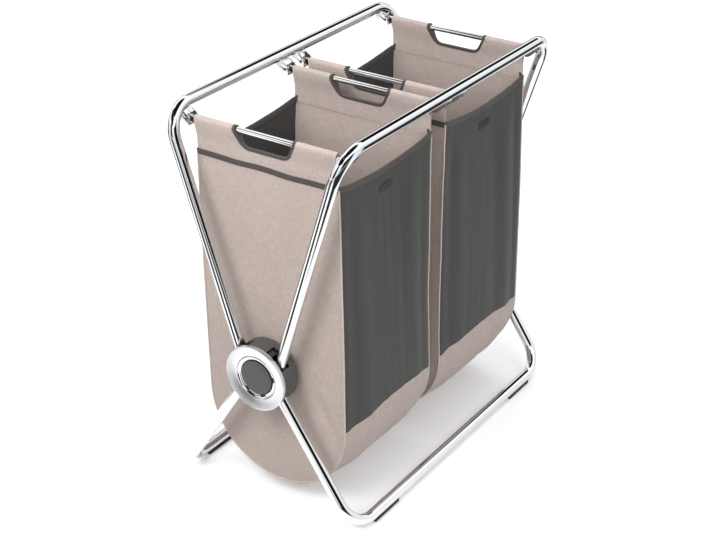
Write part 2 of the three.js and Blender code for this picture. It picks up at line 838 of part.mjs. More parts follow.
// Tape: a band round the outside that follows the sagging edges and crosses both flaps
function tapeBody() {
  const from = innerRodX - clothThickness / 2;
  const to = outerRodX + clothThickness / 2;
  const reach = overrun + tapeThickness;
  const sides = solid(alongY(mouthBand(tapeHeight, 0, from, to),
    -bottomRailY, bottomRailY, fineSteps));
  const crossing = (x) => solid(alongY(polygon([
    [x - reach, mouthEndHeight - tapeHeight], [x + reach, mouthEndHeight - tapeHeight],
    [x + reach, mouthEndHeight], [x - reach, mouthEndHeight],
  ]), -bottomRailY, bottomRailY));
  return surface(bagBlock(-seatGap - tapeThickness, rodHeight)
    .subtract(bagBlock(-seatGap, rodHeight + overrun))
    .intersect(sides.add(crossing(from)).add(crossing(to))));
}

// Binding: tape folded over the grip's edge
function bindingBody(x) {
  const inside = clothThickness / 2 + seatGap;
  const outside = inside + bindingThickness;
  const top = rodHeight - sleeveRadius - stopGap;
  const block = (grow, half) => solid(alongX(gripShape(grow), x - half, x + half));
  const below = solid(new THREE.BoxGeometry(legPlane, bottomRailSpacing, 2 * gripDepth)
    .translate(x, 0, top - gripDepth));
  return surface(block(bindingReach, outside)
    .subtract(block(-bindingReach, outside + overrun))
    .subtract(block(bindingReach + overrun, inside).subtract(block(-seatGap, inside + overrun)))
    .intersect(below));
}

function rodBody() {
  const half = rodLength / 2;
  return turned([
    [0, -half],
    [rodRadius - rodEdge, -half],
    [rodRadius, -half + rodEdge],
    [rodRadius, half - rodEdge],
    [rodRadius - rodEdge, half],
    [0, half],
  ], smallSegments).rotateZ(Math.PI / 2);
}

// Tag: a small blank label on the front netting, below the middle of the mouth
function tagBody() {
  const middle = (innerRodX + outerRodX) / 2;
  const top = mouthEndHeight - mouthSag - tapeHeight - tagDrop;
  const slope = (bellyHalfWidth - flapHalfWidth) / (mouthEndHeight - bellyHeight);
  const wall = flapHalfWidth + slope * (mouthEndHeight - top + tagHeight) + seatGap;
  return new THREE.BoxGeometry(tagLength, tagThickness, tagHeight)
    .translate(middle, -wall - tagThickness / 2, top - tagHeight / 2);
}

const bagPieces = [
  ["canvas", canvasBody(), canvas],
  ["tape", tapeBody(), tape],
  ["inner_grip_binding", bindingBody(innerRodX), tape],
  ["outer_grip_binding", bindingBody(outerRodX), tape],
];
const netting1 = nettingBody(1);
const netting2 = nettingBody(-1);
const rod = rodBody();
const tag = tagBody();
for (const [name, way] of [["near_bag", -1], ["far_bag", 1]]) {
  const bag = new THREE.Group();
  bag.rotation.z = way > 0 ? 0 : Math.PI;
  hamper.add(bag);
  for (const [part, geometry, material] of bagPieces) {
    piece(bag, `${name}_${part}`, geometry, material);
  }
  piece(bag, `${name}_${way > 0 ? "back" : "front"}_netting`, netting1, netting);
  piece(bag, `${name}_${way > 0 ? "front" : "back"}_netting`, netting2, netting);
  piece(bag, `${name}_inner_rod`, rod, chrome).position.set(innerRodX, 0, rodHeight);
  piece(bag, `${name}_outer_rod`, rod, chrome).position.set(outerRodX, 0, rodHeight);
  const label = piece(hamper, `${name}_tag`, tag, darkPlastic);
  if (way < 0) label.position.x = -(innerRodX + outerRodX);
}

export default hamper;
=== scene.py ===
import json
import math

import bmesh
import bpy
from mathutils import Matrix, Vector, noise


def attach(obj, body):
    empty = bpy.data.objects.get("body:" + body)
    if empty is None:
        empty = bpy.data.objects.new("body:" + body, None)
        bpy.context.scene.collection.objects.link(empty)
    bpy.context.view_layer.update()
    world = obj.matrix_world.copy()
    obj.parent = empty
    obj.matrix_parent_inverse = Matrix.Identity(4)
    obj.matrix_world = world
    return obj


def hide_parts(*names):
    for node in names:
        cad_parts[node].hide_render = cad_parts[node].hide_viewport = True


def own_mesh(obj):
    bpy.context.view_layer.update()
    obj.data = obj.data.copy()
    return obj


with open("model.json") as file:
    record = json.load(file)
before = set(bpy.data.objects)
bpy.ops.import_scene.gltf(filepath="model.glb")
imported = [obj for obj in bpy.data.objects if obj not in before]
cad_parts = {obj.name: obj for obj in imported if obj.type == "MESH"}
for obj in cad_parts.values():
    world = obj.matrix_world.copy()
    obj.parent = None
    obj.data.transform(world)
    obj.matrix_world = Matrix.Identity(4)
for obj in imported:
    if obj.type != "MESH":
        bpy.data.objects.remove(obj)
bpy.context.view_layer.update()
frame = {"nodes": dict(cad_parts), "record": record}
ends = {"near": -1, "far": 1}
rows = {"back": 1, "front": -1}
panelWays = {"inner": -1, "outer": 1}  # a bag's end panels, towards and away from the other bag
print("frame loaded:", len(frame["nodes"]), "nodes")


# Handling of pieces

def started(add, name=None, **settings):  # a new object, with nothing else selected
    bpy.ops.object.select_all(action="DESELECT")
    add(**settings)
    piece = bpy.context.object
    if name:
        piece.name = name
    return piece


def alone(piece):
    bpy.ops.object.select_all(action="DESELECT")
    piece.select_set(True)
    bpy.context.view_layer.objects.active = piece


def editing(piece):
    alone(piece)
    bpy.ops.object.mode_set(mode="EDIT")
    bpy.ops.mesh.select_all(action="SELECT")


def done():
    bpy.ops.object.mode_set(mode="OBJECT")


def pick(piece, kind, test):  # in edit mode: kind is verts, edges or faces
    mesh = bmesh.from_edit_mesh(piece.data)
    bpy.ops.mesh.select_all(action="DESELECT")
    for part in getattr(mesh, kind):
        if test(part):
            part.select_set(True)
    mesh.select_flush_mode()
    bmesh.update_edit_mesh(piece.data)


def extruded(move):
    bpy.ops.mesh.extrude_region_move(TRANSFORM_OT_translate={"value": move})


def cleaned(piece, gap=1e-6):
    editing(piece)
    bpy.ops.mesh.remove_doubles(threshold=gap)
    bpy.ops.mesh.normals_make_consistent(inside=False)
    done()


def modified(piece, kind, **settings):
    alone(piece)
    modifier = piece.modifiers.new(kind.title(), kind)
    for key, value in settings.items():
        setattr(modifier, key, value)
    bpy.ops.object.modifier_apply(modifier=modifier.name)


def bevelled(piece, width, segments=2, degrees=50):
    modified(piece, "BEVEL", width=width, segments=segments,
             limit_method="ANGLE", angle_limit=math.radians(degrees))


def smooth(piece, degrees=32):
    alone(piece)
    bpy.ops.object.shade_smooth_by_angle(angle=math.radians(degrees))


def settled(piece):  # place and turn go into the mesh
    alone(piece)
    bpy.ops.object.transform_apply(location=True, rotation=True, scale=True)


def copied(piece, name, place=(0, 0, 0), halfTurn=False):
    alone(piece)
    bpy.ops.object.duplicate()
    twin = bpy.context.object
    twin.name = twin.data.name = name
    if halfTurn:
        twin.rotation_euler = (0, 0, math.pi)
    twin.location = place
    settled(twin)
    return twin


def joined(pieces, name):
    bpy.ops.object.select_all(action="DESELECT")
    for piece in pieces:
        piece.select_set(True)
    bpy.context.view_layer.objects.active = pieces[0]
    bpy.ops.object.join()
    pieces[0].name = name
    return pieces[0]


def placed(piece, body, material, finish, *nodes):
    piece.data.materials.clear()
    piece.data.materials.append(material)
    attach(piece, body)
    if nodes:
        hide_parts(*nodes)


# Camera at the photograph's angle
cameraView = {
    "place": (-1.967, -1.347, 1.5828),
    "azimuth": -56.6,
    "elevation": 29.08,
    "lens": 78.02,
    "sensor": 36,
    "shift": (-0.0508, 0.0335),
}
camera = started(
    bpy.ops.object.camera_add, location=cameraView["place"],
    rotation=(math.radians(90 - cameraView["elevation"]), 0, math.radians(cameraView["azimuth"])))
camera.data.lens, camera.data.sensor_width = cameraView["lens"], cameraView["sensor"]
camera.data.shift_x, camera.data.shift_y = cameraView["shift"]
bpy.context.scene.camera = camera
print("camera placed")


# Nodes of materials

def feed(tree, socket, value):  # links a socket, and sets anything else
    if isinstance(value, bpy.types.NodeSocket):
        tree.links.new(value, socket)
    else:
        socket.default_value = value


def addNode(tree, kind, inputs=None, **settings):
    node = tree.nodes.new(kind)
    for key, value in settings.items():
        setattr(node, key, value)
    for key, value in (inputs or {}).items():
        feed(tree, node.inputs[key], value)
    return node


def maths(tree, operation, *values):
    return addNode(tree, "ShaderNodeMath", dict(enumerate(values)), operation=operation).outputs[0]


def vectors(tree, operation, *values, out=0):
    return addNode(tree, "ShaderNodeVectorMath", dict(enumerate(values)), operation=operation).outputs[out]


def lengthOf(tree, vector):
    return vectors(tree, "LENGTH", vector, out=1)


def scaled(tree, vector, by):
    node = addNode(tree, "ShaderNodeVectorMath", {0: vector, "Scale": by}, operation="SCALE")
    return node.outputs[0]


def separated(tree, vector):
    return addNode(tree, "ShaderNodeSeparateXYZ", {0: vector}).outputs


def mapped(tree, value, low, high, toLow=0.0, toHigh=1.0, kind="LINEAR"):
    return addNode(tree, "ShaderNodeMapRange", {
        "Value": value, "From Min": low, "From Max": high, "To Min": toLow, "To Max": toHigh,
    }, interpolation_type=kind).outputs[0]


def mixedColour(tree, share, first, second, blend="MIX"):
    node = addNode(tree, "ShaderNodeMix", data_type="RGBA", blend_type=blend)
    for index, value in ((0, share), (6, first), (7, second)):
        feed(tree, node.inputs[index], value)
    return node.outputs[2]


def clouds(tree, vector, scale, detail, rough, distortion=0.0):
    return addNode(tree, "ShaderNodeTexNoise", {
        "Vector": vector, "Scale": scale, "Detail": detail, "Roughness": rough, "Distortion": distortion,
    }).outputs[0]


def newGroup(name, inputs, outputs):  # an input with no value is a vector
    tree = bpy.data.node_groups.new(name, "ShaderNodeTree")
    for label, value in inputs.items():
        kind = "NodeSocketVector" if value is None else "NodeSocketFloat"
        socket = tree.interface.new_socket(label, in_out="INPUT", socket_type=kind)
        if value is not None:
            socket.default_value = value
    for label in outputs:
        tree.interface.new_socket(label, in_out="OUTPUT", socket_type="NodeSocketFloat")
    return tree, tree.nodes.new("NodeGroupInput").outputs, tree.nodes.new("NodeGroupOutput").inputs


def useGroup(tree, group, **inputs):
    node = tree.nodes.new("ShaderNodeGroup")
    node.node_tree = group
    for key, value in inputs.items():
        feed(tree, node.inputs[key], value)
    return node.outputs


def fineGrain():  # small moulded or cast grain
    tree, given, out = newGroup("fineGrain", {"Vector": None, "Scale": 900.0}, ("Height", "Cloud"))
    feed(tree, out["Height"], clouds(tree, given["Vector"], scale=given["Scale"], detail=3.0, rough=0.6))
    feed(tree, out["Cloud"], clouds(tree, given["Vector"], scale=28.0, detail=4.0, rough=0.55))
    return tree


def handling():  # smears and hair scratches on bright metal
    tree, given, out = newGroup("handling", {"Vector": None, "Smear": 0.05, "Base": 0.05}, ("Roughness",))
    smear = clouds(tree, given["Vector"], scale=21.0, detail=5.0, rough=0.62, distortion=0.6)
    cloud = mapped(tree, smear, 0.42, 0.75, kind="SMOOTHSTEP")
    stretched = vectors(tree, "MULTIPLY", given["Vector"], (60.0, 900.0, 900.0))
    scratch = mapped(tree, clouds(tree, stretched, scale=1.0, detail=1.0, rough=0.4), 0.66, 0.72)
    rough = maths(tree, "MULTIPLY_ADD", cloud, given["Smear"], given["Base"])
    feed(tree, out["Roughness"], maths(tree, "MULTIPLY_ADD", scratch, 0.02, rough))
    return tree


def weave():  # plain weave with slubs, on a piece's own map in metres
    tree, given, out = newGroup(
        "weave", {"Vector": None, "Pitch": 0.00062}, ("Height", "Gap", "Slub", "Cloud"))
    threads = scaled(tree, given["Vector"], maths(tree, "DIVIDE", math.pi, given["Pitch"]))
    over, under = (maths(tree, "SINE", part) for part in separated(tree, threads)[:2])
    warp, weft = maths(tree, "ABSOLUTE", over), maths(tree, "ABSOLUTE", under)
    turn = mapped(tree, maths(tree, "MULTIPLY", over, under), -0.25, 0.25)
    height = addNode(tree, "ShaderNodeMix", {0: turn, 2: warp, 3: weft}).outputs[0]
    lengthwise, crosswise = (
        clouds(tree, vectors(tree, "MULTIPLY", given["Vector"], stretch), scale=1.0, detail=2.0, rough=0.5)
        for stretch in ((900.0, 70.0, 1.0), (55.0, 1000.0, 1.0)))
    slub = maths(tree, "MULTIPLY_ADD", lengthwise, 0.5, maths(tree, "MULTIPLY", crosswise, 0.5))
    feed(tree, out["Height"], maths(tree, "MULTIPLY_ADD", slub, 0.9, height))
    feed(tree, out["Gap"], maths(tree, "SUBTRACT", 1.0, maths(tree, "MAXIMUM", warp, weft)))
    feed(tree, out["Slub"], slub)
    feed(tree, out["Cloud"], clouds(tree, given["Vector"], scale=17.0, detail=3.0, rough=0.5))
    return tree


def honeycomb():  # round openings on a six-sided grid
    tree, given, out = newGroup("honeycomb", {"Vector": None, "Pitch": 0.003}, ("Hole", "Rim"))
    shifted = vectors(tree, "ADD", given["Vector"], (5.0, 5.0, 0.0))  # keeps the map above nought
    sized = scaled(tree, shifted, maths(tree, "DIVIDE", 1.0, given["Pitch"]))
    cell, half = (1.0, math.sqrt(3), 1.0), (0.5, math.sqrt(3) / 2, 0.5)

    def nearest(place):  # how far the middle of the cell is
        wrapped = vectors(tree, "SUBTRACT", vectors(tree, "MODULO", place, cell), half)
        return lengthOf(tree, vectors(tree, "MULTIPLY", wrapped, (1.0, 1.0, 0.0)))

    distance = maths(tree, "MINIMUM", nearest(sized), nearest(vectors(tree, "ADD", sized, half)))
    feed(tree, out["Hole"], mapped(tree, distance, 0.26, 0.38, 1.0, 0.0, "SMOOTHSTEP"))
    feed(tree, out["Rim"], mapped(tree, distance, 0.2, 0.5))
    return tree


def ribs():  # ribs across a tape, on its own map in metres
    tree, given, out = newGroup("ribs", {"Vector": None, "Pitch": 0.0009}, ("Height", "Fleck"))
    along = maths(tree, "MULTIPLY", separated(tree, given["Vector"])[0], math.pi)
    wave = maths(tree, "ABSOLUTE", maths(tree, "SINE", maths(tree, "DIVIDE", along, given["Pitch"])))
    fleck = clouds(tree, given["Vector"], scale=700.0, detail=2.0, rough=0.6)
    feed(tree, out["Height"], maths(tree, "MULTIPLY_ADD", fleck, 0.4, wave))
    feed(tree, out["Fleck"], fleck)
    return tree


groups = {make.__name__: make() for make in (fineGrain, handling, weave, honeycomb, ribs)}


def newMaterial(name, facts, metallic=0.0):
    material = bpy.data.materials.new(name)
    material.use_nodes = True
    shader = material.node_tree.nodes["Principled BSDF"].inputs
    shader["Base Color"].default_value = (*facts["colour"], 1)
    shader["Roughness"].default_value = facts["roughness"]
    shader["Metallic"].default_value = metallic
    if "sheen" in facts:
        shader["Sheen Weight"].default_value, shader["Sheen Roughness"].default_value = facts["sheen"]
    return material, material.node_tree, shader


def raised(tree, shader, height, distance, strength):
    bump = addNode(tree, "ShaderNodeBump", {"Height": height, "Distance": distance, "Strength": strength})
    feed(tree, shader["Normal"], bump.outputs[0])


def placeOf(tree, own=False):
    return addNode(tree, "ShaderNodeTexCoord").outputs["UV" if own else "Object"]


def tinted(tree, colour, mask, low, high):
    return mixedColour(tree, 1.0, (*colour, 1), mapped(tree, mask, 0.3, 0.7, low, high), "MULTIPLY")


metalFinish = {
    "chrome": {"colour": (0.86, 0.87, 0.885), "roughness": 0.035, "smear": 0.045},
    "satinSteel": {"colour": (0.87, 0.875, 0.885), "roughness": 0.27, "smear": 0.07, "lines": 2600},
    # zinc steel darkened as painted shade, for the parts inside the hubs
    "zincSteel": {"colour": (0.15, 0.153, 0.157), "roughness": 0.44, "rough": (0.26, 0.48), "scale": 420},
}
plasticFinish = {
    "greyPlastic": {"colour": (0.078, 0.080, 0.078), "roughness": 0.47, "rough": (0.42, 0.54), "scale": 1500},
    "darkPlastic": {"colour": (0.035, 0.035, 0.036), "roughness": 0.42, "rough": (0.37, 0.49), "scale": 1700},
    "rubber": {"colour": (0.018, 0.018, 0.019), "roughness": 0.72, "rough": (0.67, 0.79), "scale": 1100},
}
clothFinish = {
    "canvas": {"colour": (0.53, 0.443, 0.402), "roughness": 0.86, "sheen": (0.25, 0.45), "pitch": 0.00062},
    # piping is the canvas made paler, a painted highlight along the raised cord
    "piping": {"colour": (0.63, 0.535, 0.485), "roughness": 0.84, "sheen": (0.25, 0.45), "pitch": 0.0005},
    # the netting's hole colour is painted shade: the dark of the bag's inside, painted into the openings
    "netting": {"colour": (0.064, 0.064, 0.062), "roughness": 0.8, "sheen": (0.18, 0.5), "pitch": 0.0038,
                "hole": (0.010, 0.010, 0.010), "yarn": 1400},
    "tape": {"colour": (0.070, 0.063, 0.057), "roughness": 0.78, "sheen": (0.2, 0.4), "pitch": 0.0009},
    "thread": {"colour": (0.40, 0.33, 0.29), "roughness": 0.7, "scale": 2600},
    "label": {"colour": (0.034, 0.034, 0.035), "roughness": 0.38, "scale": 2600},
}
# stain is the cloth's own soiling; gap is painted shade in the hollows where the threads part
clothStainAndWeaveShade = {"stain": (0.36, 0.27, 0.22), "stainShare": 0.10, "gap": (0.2, 0.155, 0.13), "gapShare": 0.55}


def handled(tree, facts):  # roughness of metal that has been touched
    return useGroup(tree, groups["handling"], Vector=placeOf(tree), Smear=facts["smear"],
                    Base=facts["roughness"])["Roughness"]


def chromeMaterial(name="chrome"):
    facts = metalFinish[name]
    material, tree, shader = newMaterial(name, facts, 1.0)
    feed(tree, shader["Roughness"], handled(tree, facts))
    return material


def satinMaterial(name="satinSteel"):  # fine turned lines round the hub
    facts = metalFinish[name]
    material, tree, shader = newMaterial(name, facts, 1.0)
    fromHub = vectors(tree, "SUBTRACT", placeOf(tree), (0, 0, hub["height"]))
    reach = lengthOf(tree, vectors(tree, "MULTIPLY", fromHub, (0, 1, 1)))
    lines = addNode(tree, "ShaderNodeTexNoise", {
        "W": maths(tree, "MULTIPLY", reach, facts["lines"]), "Scale": 1.0, "Detail": 2.0,
    }, noise_dimensions="1D").outputs[0]
    feed(tree, shader["Roughness"], maths(tree, "MULTIPLY_ADD", lines, 0.09, handled(tree, facts)))
    raised(tree, shader, lines, distance=0.00004, strength=0.5)
    return material


def grainedMaterial(name, facts, tint, bump, mask="Cloud", metallic=0.0):
    material, tree, shader = newMaterial(name, facts, metallic)
    grain = useGroup(tree, groups["fineGrain"], Vector=placeOf(tree), Scale=facts["scale"])
    feed(tree, shader["Base Color"], tinted(tree, facts["colour"], grain[mask], *tint))
    if "rough" in facts:
        feed(tree, shader["Roughness"], mapped(tree, grain["Cloud"], 0.3, 0.7, *facts["rough"]))
    raised(tree, shader, grain["Height"], *bump)
    return material


def canvasMaterial(name):
    facts = clothFinish[name]
    material, tree, shader = newMaterial(name, facts)
    cloth = useGroup(tree, groups["weave"], Vector=placeOf(tree, own=True), Pitch=facts["pitch"])
    threads = mapped(tree, cloth["Slub"], 0.38, 0.62, 0.84, 1.14)
    colour = mixedColour(tree, 1.0, (*facts["colour"], 1), threads, "MULTIPLY")
    # random stains, then painted shade where the weave's threads part
    for mask, low, high, kind in ((cloth["Cloud"], 0.3, 0.7, "stain"), (cloth["Gap"], 0.5, 1.0, "gap")):
        share = mapped(tree, mask, low, high, 0.0, clothStainAndWeaveShade[kind + "Share"])
        colour = mixedColour(tree, share, colour, (*clothStainAndWeaveShade[kind], 1))
    feed(tree, shader["Base Color"], colour)
    raised(tree, shader, cloth["Height"], distance=0.00022, strength=0.8)
    return material


def nettingMaterial(name="netting"):
    facts = clothFinish[name]
    material, tree, shader = newMaterial(name, facts)
    place = placeOf(tree, own=True)
    comb = useGroup(tree, groups["honeycomb"], Vector=place, Pitch=facts["pitch"])
    grain = useGroup(tree, groups["fineGrain"], Vector=place, Scale=facts["yarn"])
    yarn = tinted(tree, facts["colour"], grain["Height"], 0.75, 1.3)
    # openings painted near black as painted shade
    feed(tree, shader["Base Color"], mixedColour(tree, comb["Hole"], yarn, (*facts["hole"], 1)))
    raised(tree, shader, comb["Rim"], distance=0.0004, strength=0.6)
    return material


def tapeMaterial(name="tape"):
    facts = clothFinish[name]
    material, tree, shader = newMaterial(name, facts)
    ribbed = useGroup(tree, groups["ribs"], Vector=placeOf(tree, own=True), Pitch=facts["pitch"])
    feed(tree, shader["Base Color"], tinted(tree, facts["colour"], ribbed["Fleck"], 0.8, 1.22))
    raised(tree, shader, ribbed["Height"], distance=0.0002, strength=0.7)
    return material


# Frame: four bent tubes and the rods
tube = {
    "legPlane": 0.31175,
    "radius": 0.0095,
    "wall": 0.0012,
    "bend": 0.050,
    "sides": 48,
    "bendSteps": 20,
    "upper": {"offset": 0.0285, "start": 0.0183, "railY": 0.1632, "railZ": 0.6738,
              "bodies": {"back": "frame_a", "front": "frame_b"}},
    "lower": {"offset": 0.016, "start": 0.0203, "railY": 0.1769, "railZ": 0.0138,
              "bodies": {"back": "frame_b", "front": "frame_a"}},
}
hub = {"height": 0.255, "sides": 128, "foldAngle": math.radians(16)}
chrome, satin = chromeMaterial(), satinMaterial()
zinc = grainedMaterial("zincSteel", metalFinish["zincSteel"], tint=(0.78, 1.12), bump=(0.00006, 0.4),
                       metallic=1.0)
greyPlastic, darkPlastic, rubber = (
    grainedMaterial(name, facts, tint=(0.9, 1.12), bump=(0.00012, 0.55))
    for name, facts in plasticFinish.items())
# the piping's paler colour is a painted highlight on the raised cord
canvas, piping = canvasMaterial("canvas"), canvasMaterial("piping")
netting, tape = nettingMaterial(), tapeMaterial()
thread, label = (
    grainedMaterial(name, clothFinish[name], tint=(0.85, 1.15), bump=(0.0001, 0.5), mask="Height")
    for name in ("thread", "label"))
print("materials made")


def bentTube(name, leg):
    lean = math.atan2(leg["railY"] - leg["offset"], leg["railZ"] - hub["height"])
    away, along = Vector((0, math.sin(lean), math.cos(lean))), Vector((1, 0, 0))
    foot = Vector((-tube["legPlane"], leg["offset"], hub["height"])) + leg["start"] * away
    corner = Vector((-tube["legPlane"], leg["railY"], leg["railZ"]))
    bend, reach = tube["bend"], 2 * (tube["legPlane"] - tube["bend"])
    run = (corner - foot).length - bend
    piece = started(
        bpy.ops.mesh.primitive_circle_add, name, vertices=tube["sides"], radius=tube["radius"],
        location=foot, rotation=away.to_track_quat("Z", "Y").to_euler())
    settled(piece)
    editing(piece)
    for move, turnAt in ((away * run, bend), (along * reach, bend + reach)):
        extruded(move)
        bpy.ops.mesh.spin(steps=tube["bendSteps"], angle=math.pi / 2, axis=along.cross(away),
                          center=corner - away * bend + along * turnAt)
    extruded(-away * run)
    done()
    cleaned(piece, 1e-5)
    modified(piece, "SOLIDIFY", thickness=tube["wall"], offset=-1)
    smooth(piece, 40)
    return piece


backTubes = {key: bentTube(f"back_{key}_bent_tube", tube[key]) for key in ("upper", "lower")}
frontTubes = {key: copied(made, f"front_{key}_bent_tube", halfTurn=True) for key, made in backTubes.items()}
for row, made in (("back", backTubes), ("front", frontTubes)):
    for key, piece in made.items():
        placed(piece, tube[key]["bodies"][row], chrome, "chrome", f"{row}_{key}_tube")
print("tubes made")

rod = {"radius": 0.0048, "length": 0.301, "edge": 0.0008, "height": 0.6558, "outerX": 0.2765, "innerX": 0.022}


def hangingRod():
    edge = rod["edge"]
    piece = started(bpy.ops.mesh.primitive_cylinder_add, vertices=40, radius=rod["radius"],
                    depth=rod["length"], rotation=(math.pi / 2, 0, 0))
    settled(piece)
    editing(piece)
    pick(piece, "faces", lambda face: abs(face.normal.y) > 0.9)
    bpy.ops.mesh.inset(thickness=edge * 2.2, depth=0)
    bpy.ops.mesh.inset(thickness=edge / 2, depth=-edge / 2)
    done()
    bevelled(piece, edge, segments=4)
    smooth(piece)
    return piece


firstRod = hangingRod()
for end, way in ends.items():
    for place in panelWays:
        bar = copied(firstRod, f"{end}_bag_{place}_bar", (way * rod[place + "X"], 0, rod["height"]))
        placed(bar, f"{end}_bag", chrome, "chrome", f"{end}_bag_{place}_rod")
bpy.data.objects.remove(firstRod)
print("rods made")


# Hubs, turned about the X axis and drawn as the far one, with outwards towards +X
def turned(name, profile, closed=True):  # profile of (radius, place along X)
    radius, place = profile[0]
    piece = started(bpy.ops.mesh.primitive_circle_add, name, vertices=hub["sides"], radius=radius,
                    location=(place, 0, 0), rotation=(0, math.pi / 2, 0))
    settled(piece)
    editing(piece)
    for nextRadius, nextPlace in profile[1:] + ([profile[0]] if closed else []):
        extruded((nextPlace - place, 0, 0))
        grow = nextRadius / radius
        bpy.ops.transform.resize(value=(1, grow, grow), center_override=(nextPlace, 0, 0))
        radius, place = nextRadius, nextPlace
    if not closed:
        bpy.ops.mesh.merge(type="CENTER")
    done()
    return piece


drum = {
    "radius": 0.055, "wall": 0.003, "back": 0.0248, "edge": 0.0026, "rim": 0.0123, "hole": 0.0046,
    "backRings": (0.040, 0.041), "bossRadius": 0.012, "bossFront": -0.0123,
    "roundBack": ((1, 0), (0.62, 0.08), (0.29, 0.29), (0.08, 0.62), (0, 1)),  # shares of the edge, in and up
    "slot": {"gap": 0.0073, "from": -0.0104, "to": 0.0143, "past": 0.003, "steps": 16},
    "slotEdge": 0.0004,
}


def sector(radii, angles, span, ySide, zSide):  # cutter for a leg's slot
    piece = started(bpy.ops.mesh.primitive_plane_add, "slotCutter", size=1, location=(0, 0, 0))
    piece.scale = (span[1] - span[0], radii[1] - radii[0], 1)
    piece.rotation_euler = (math.pi / 2, 0, 0)
    piece.location = (sum(span) / 2, 0, sum(radii) / 2)
    settled(piece)
    editing(piece)
    for vertex in bmesh.from_edit_mesh(piece.data).verts:  # from the vertical towards +Y
        vertex.co = Matrix.Rotation(-angles[0], 3, "X") @ vertex.co
    bpy.ops.mesh.spin(steps=drum["slot"]["steps"], angle=angles[1] - angles[0],
                      center=(0, 0, 0), axis=(1, 0, 0))
    bpy.ops.mesh.select_all(action="SELECT")
    bpy.ops.mesh.remove_doubles(threshold=1e-6)
    bpy.ops.mesh.fill_holes(sides=4)
    done()
    piece.scale = (1, ySide, zSide)
    settled(piece)
    cleaned(piece)
    return piece


def cut(piece, cutter):
    modified(piece, "BOOLEAN", operation="DIFFERENCE", object=cutter, solver="EXACT")
    bpy.data.objects.remove(cutter)


def drumPiece():
    radius, back, edge, slot = drum["radius"], drum["back"], drum["edge"], drum["slot"]
    inside, floor = radius - drum["wall"], drum["wall"] - back
    piece = turned("drumCup", [
        (drum["hole"], -back), *((ringRadius, -back) for ringRadius in drum["backRings"]),
        *((radius - edge * inwards, -back + edge * up) for inwards, up in drum["roundBack"]),
        (radius, drum["rim"]), (inside, drum["rim"]), (inside, floor),
        (drum["bossRadius"], floor), (drum["bossRadius"], drum["bossFront"]),
        (drum["hole"], drum["bossFront"]),
    ])
    cleaned(piece)
    for key, zSide in (("upper", 1), ("lower", -1)):
        leg = tube[key]
        lean = math.atan2(leg["railY"] - leg["offset"], abs(leg["railZ"] - hub["height"]))
        reach = leg["offset"] * math.cos(lean)
        inner = lean + math.asin((reach - tube["radius"]) / radius) - hub["foldAngle"] - slot["gap"]
        outer = lean + math.asin((reach + tube["radius"]) / inside) + slot["gap"]
        for ySide in (1, -1):
            cut(piece, sector((inside - slot["past"], radius + slot["past"]), (inner, outer),
                              (slot["from"], slot["to"]), ySide, zSide))
    bevelled(piece, drum["slotEdge"])
    smooth(piece)
    return piece


ring = {
    "radius": 0.0574, "bore": 0.039, "back": 0.0126, "front": 0.0200, "dish": 0.0035, "edge": 0.0008,
    "rim": ((0, 0.0011), (0.0003, 0.0004), (0.0011, 0), (0.0021, 0.0001), (0.0027, 0.0007)),  # in and down
    "slope": ((0.050, 0.0013), (0.0445, 0.0023)),  # radius and down
    "lip": ((0.0014, -0.0001), (0.0004, 0.0003), (0, 0.0009)),  # out from the bore, down from the dish
}


def ringPiece():
    radius, bore, back, edge = ring["radius"], ring["bore"], ring["back"], ring["edge"]
    face, dish = ring["front"], ring["front"] - ring["dish"]
    piece = turned("dishedRing", [
        (bore, back), (radius - edge, back), (radius, back + edge),
        *((radius - inwards, face - down) for inwards, down in ring["rim"]),
        *((slopeRadius, face - down) for slopeRadius, down in ring["slope"]),
        *((bore + outwards, dish - down) for outwards, down in ring["lip"]),
    ])
    cleaned(piece)
    smooth(piece, 30)
    return piece


bowl = {"floor": 0.033, "lip": 0.0387, "back": 0.0126, "skin": 0.0008, "front": 0.0165, "land": 0.0007,
        "edge": 0.0003, "steps": 10}


def bowlPiece():
    base, lip, steps = bowl["back"] + bowl["skin"], bowl["lip"], bowl["steps"]
    rise, reach = bowl["front"] - bowl["back"] - bowl["skin"], lip - bowl["land"] - bowl["floor"]
    wall = [(bowl["floor"] + reach * math.sin(step * math.pi / (2 * steps)),
             base + rise * (1 - math.cos(step * math.pi / (2 * steps)))) for step in range(steps + 1)]
    piece = turned("brightBowl", [
        (drum["hole"], bowl["back"]), (lip, bowl["back"]), (lip, bowl["front"] - bowl["edge"]),
        (lip - bowl["edge"], bowl["front"]), *reversed(wall), (drum["hole"], base)])
    cleaned(piece)
    smooth(piece, 40)
    return piece


cap = {"radius": 0.0298, "foot": 0.0137, "front": 0.0163, "crown": 0.0007, "wall": 0.0016, "edge": 0.0008,
       "shoulder": 0.3, "curve": ((0.72, 0.45), (0.4, 0.1)), "middle": 0.002, "bevel": 0.00025}


def capPiece():
    wide, foot, front, edge = cap["radius"], cap["foot"], cap["front"], cap["edge"]
    shoulder, rounded = front - cap["crown"], edge * cap["shoulder"]
    piece = turned("lowCap", [
        (wide - cap["wall"], foot), (wide, foot), (wide, shoulder - edge),
        (wide - rounded, shoulder - rounded), (wide - edge, shoulder),
        *((wide * share, front - cap["crown"] * down) for share, down in cap["curve"]),
        (cap["middle"], front),
    ], closed=False)
    editing(piece)
    pick(piece, "edges", lambda rim: rim.is_boundary)
    extruded((shoulder - cap["wall"] - foot, 0, 0))
    extruded((0, 0, 0))
    bpy.ops.mesh.merge(type="CENTER")
    done()
    cleaned(piece)
    bevelled(piece, cap["bevel"], degrees=55)
    smooth(piece)
    return piece


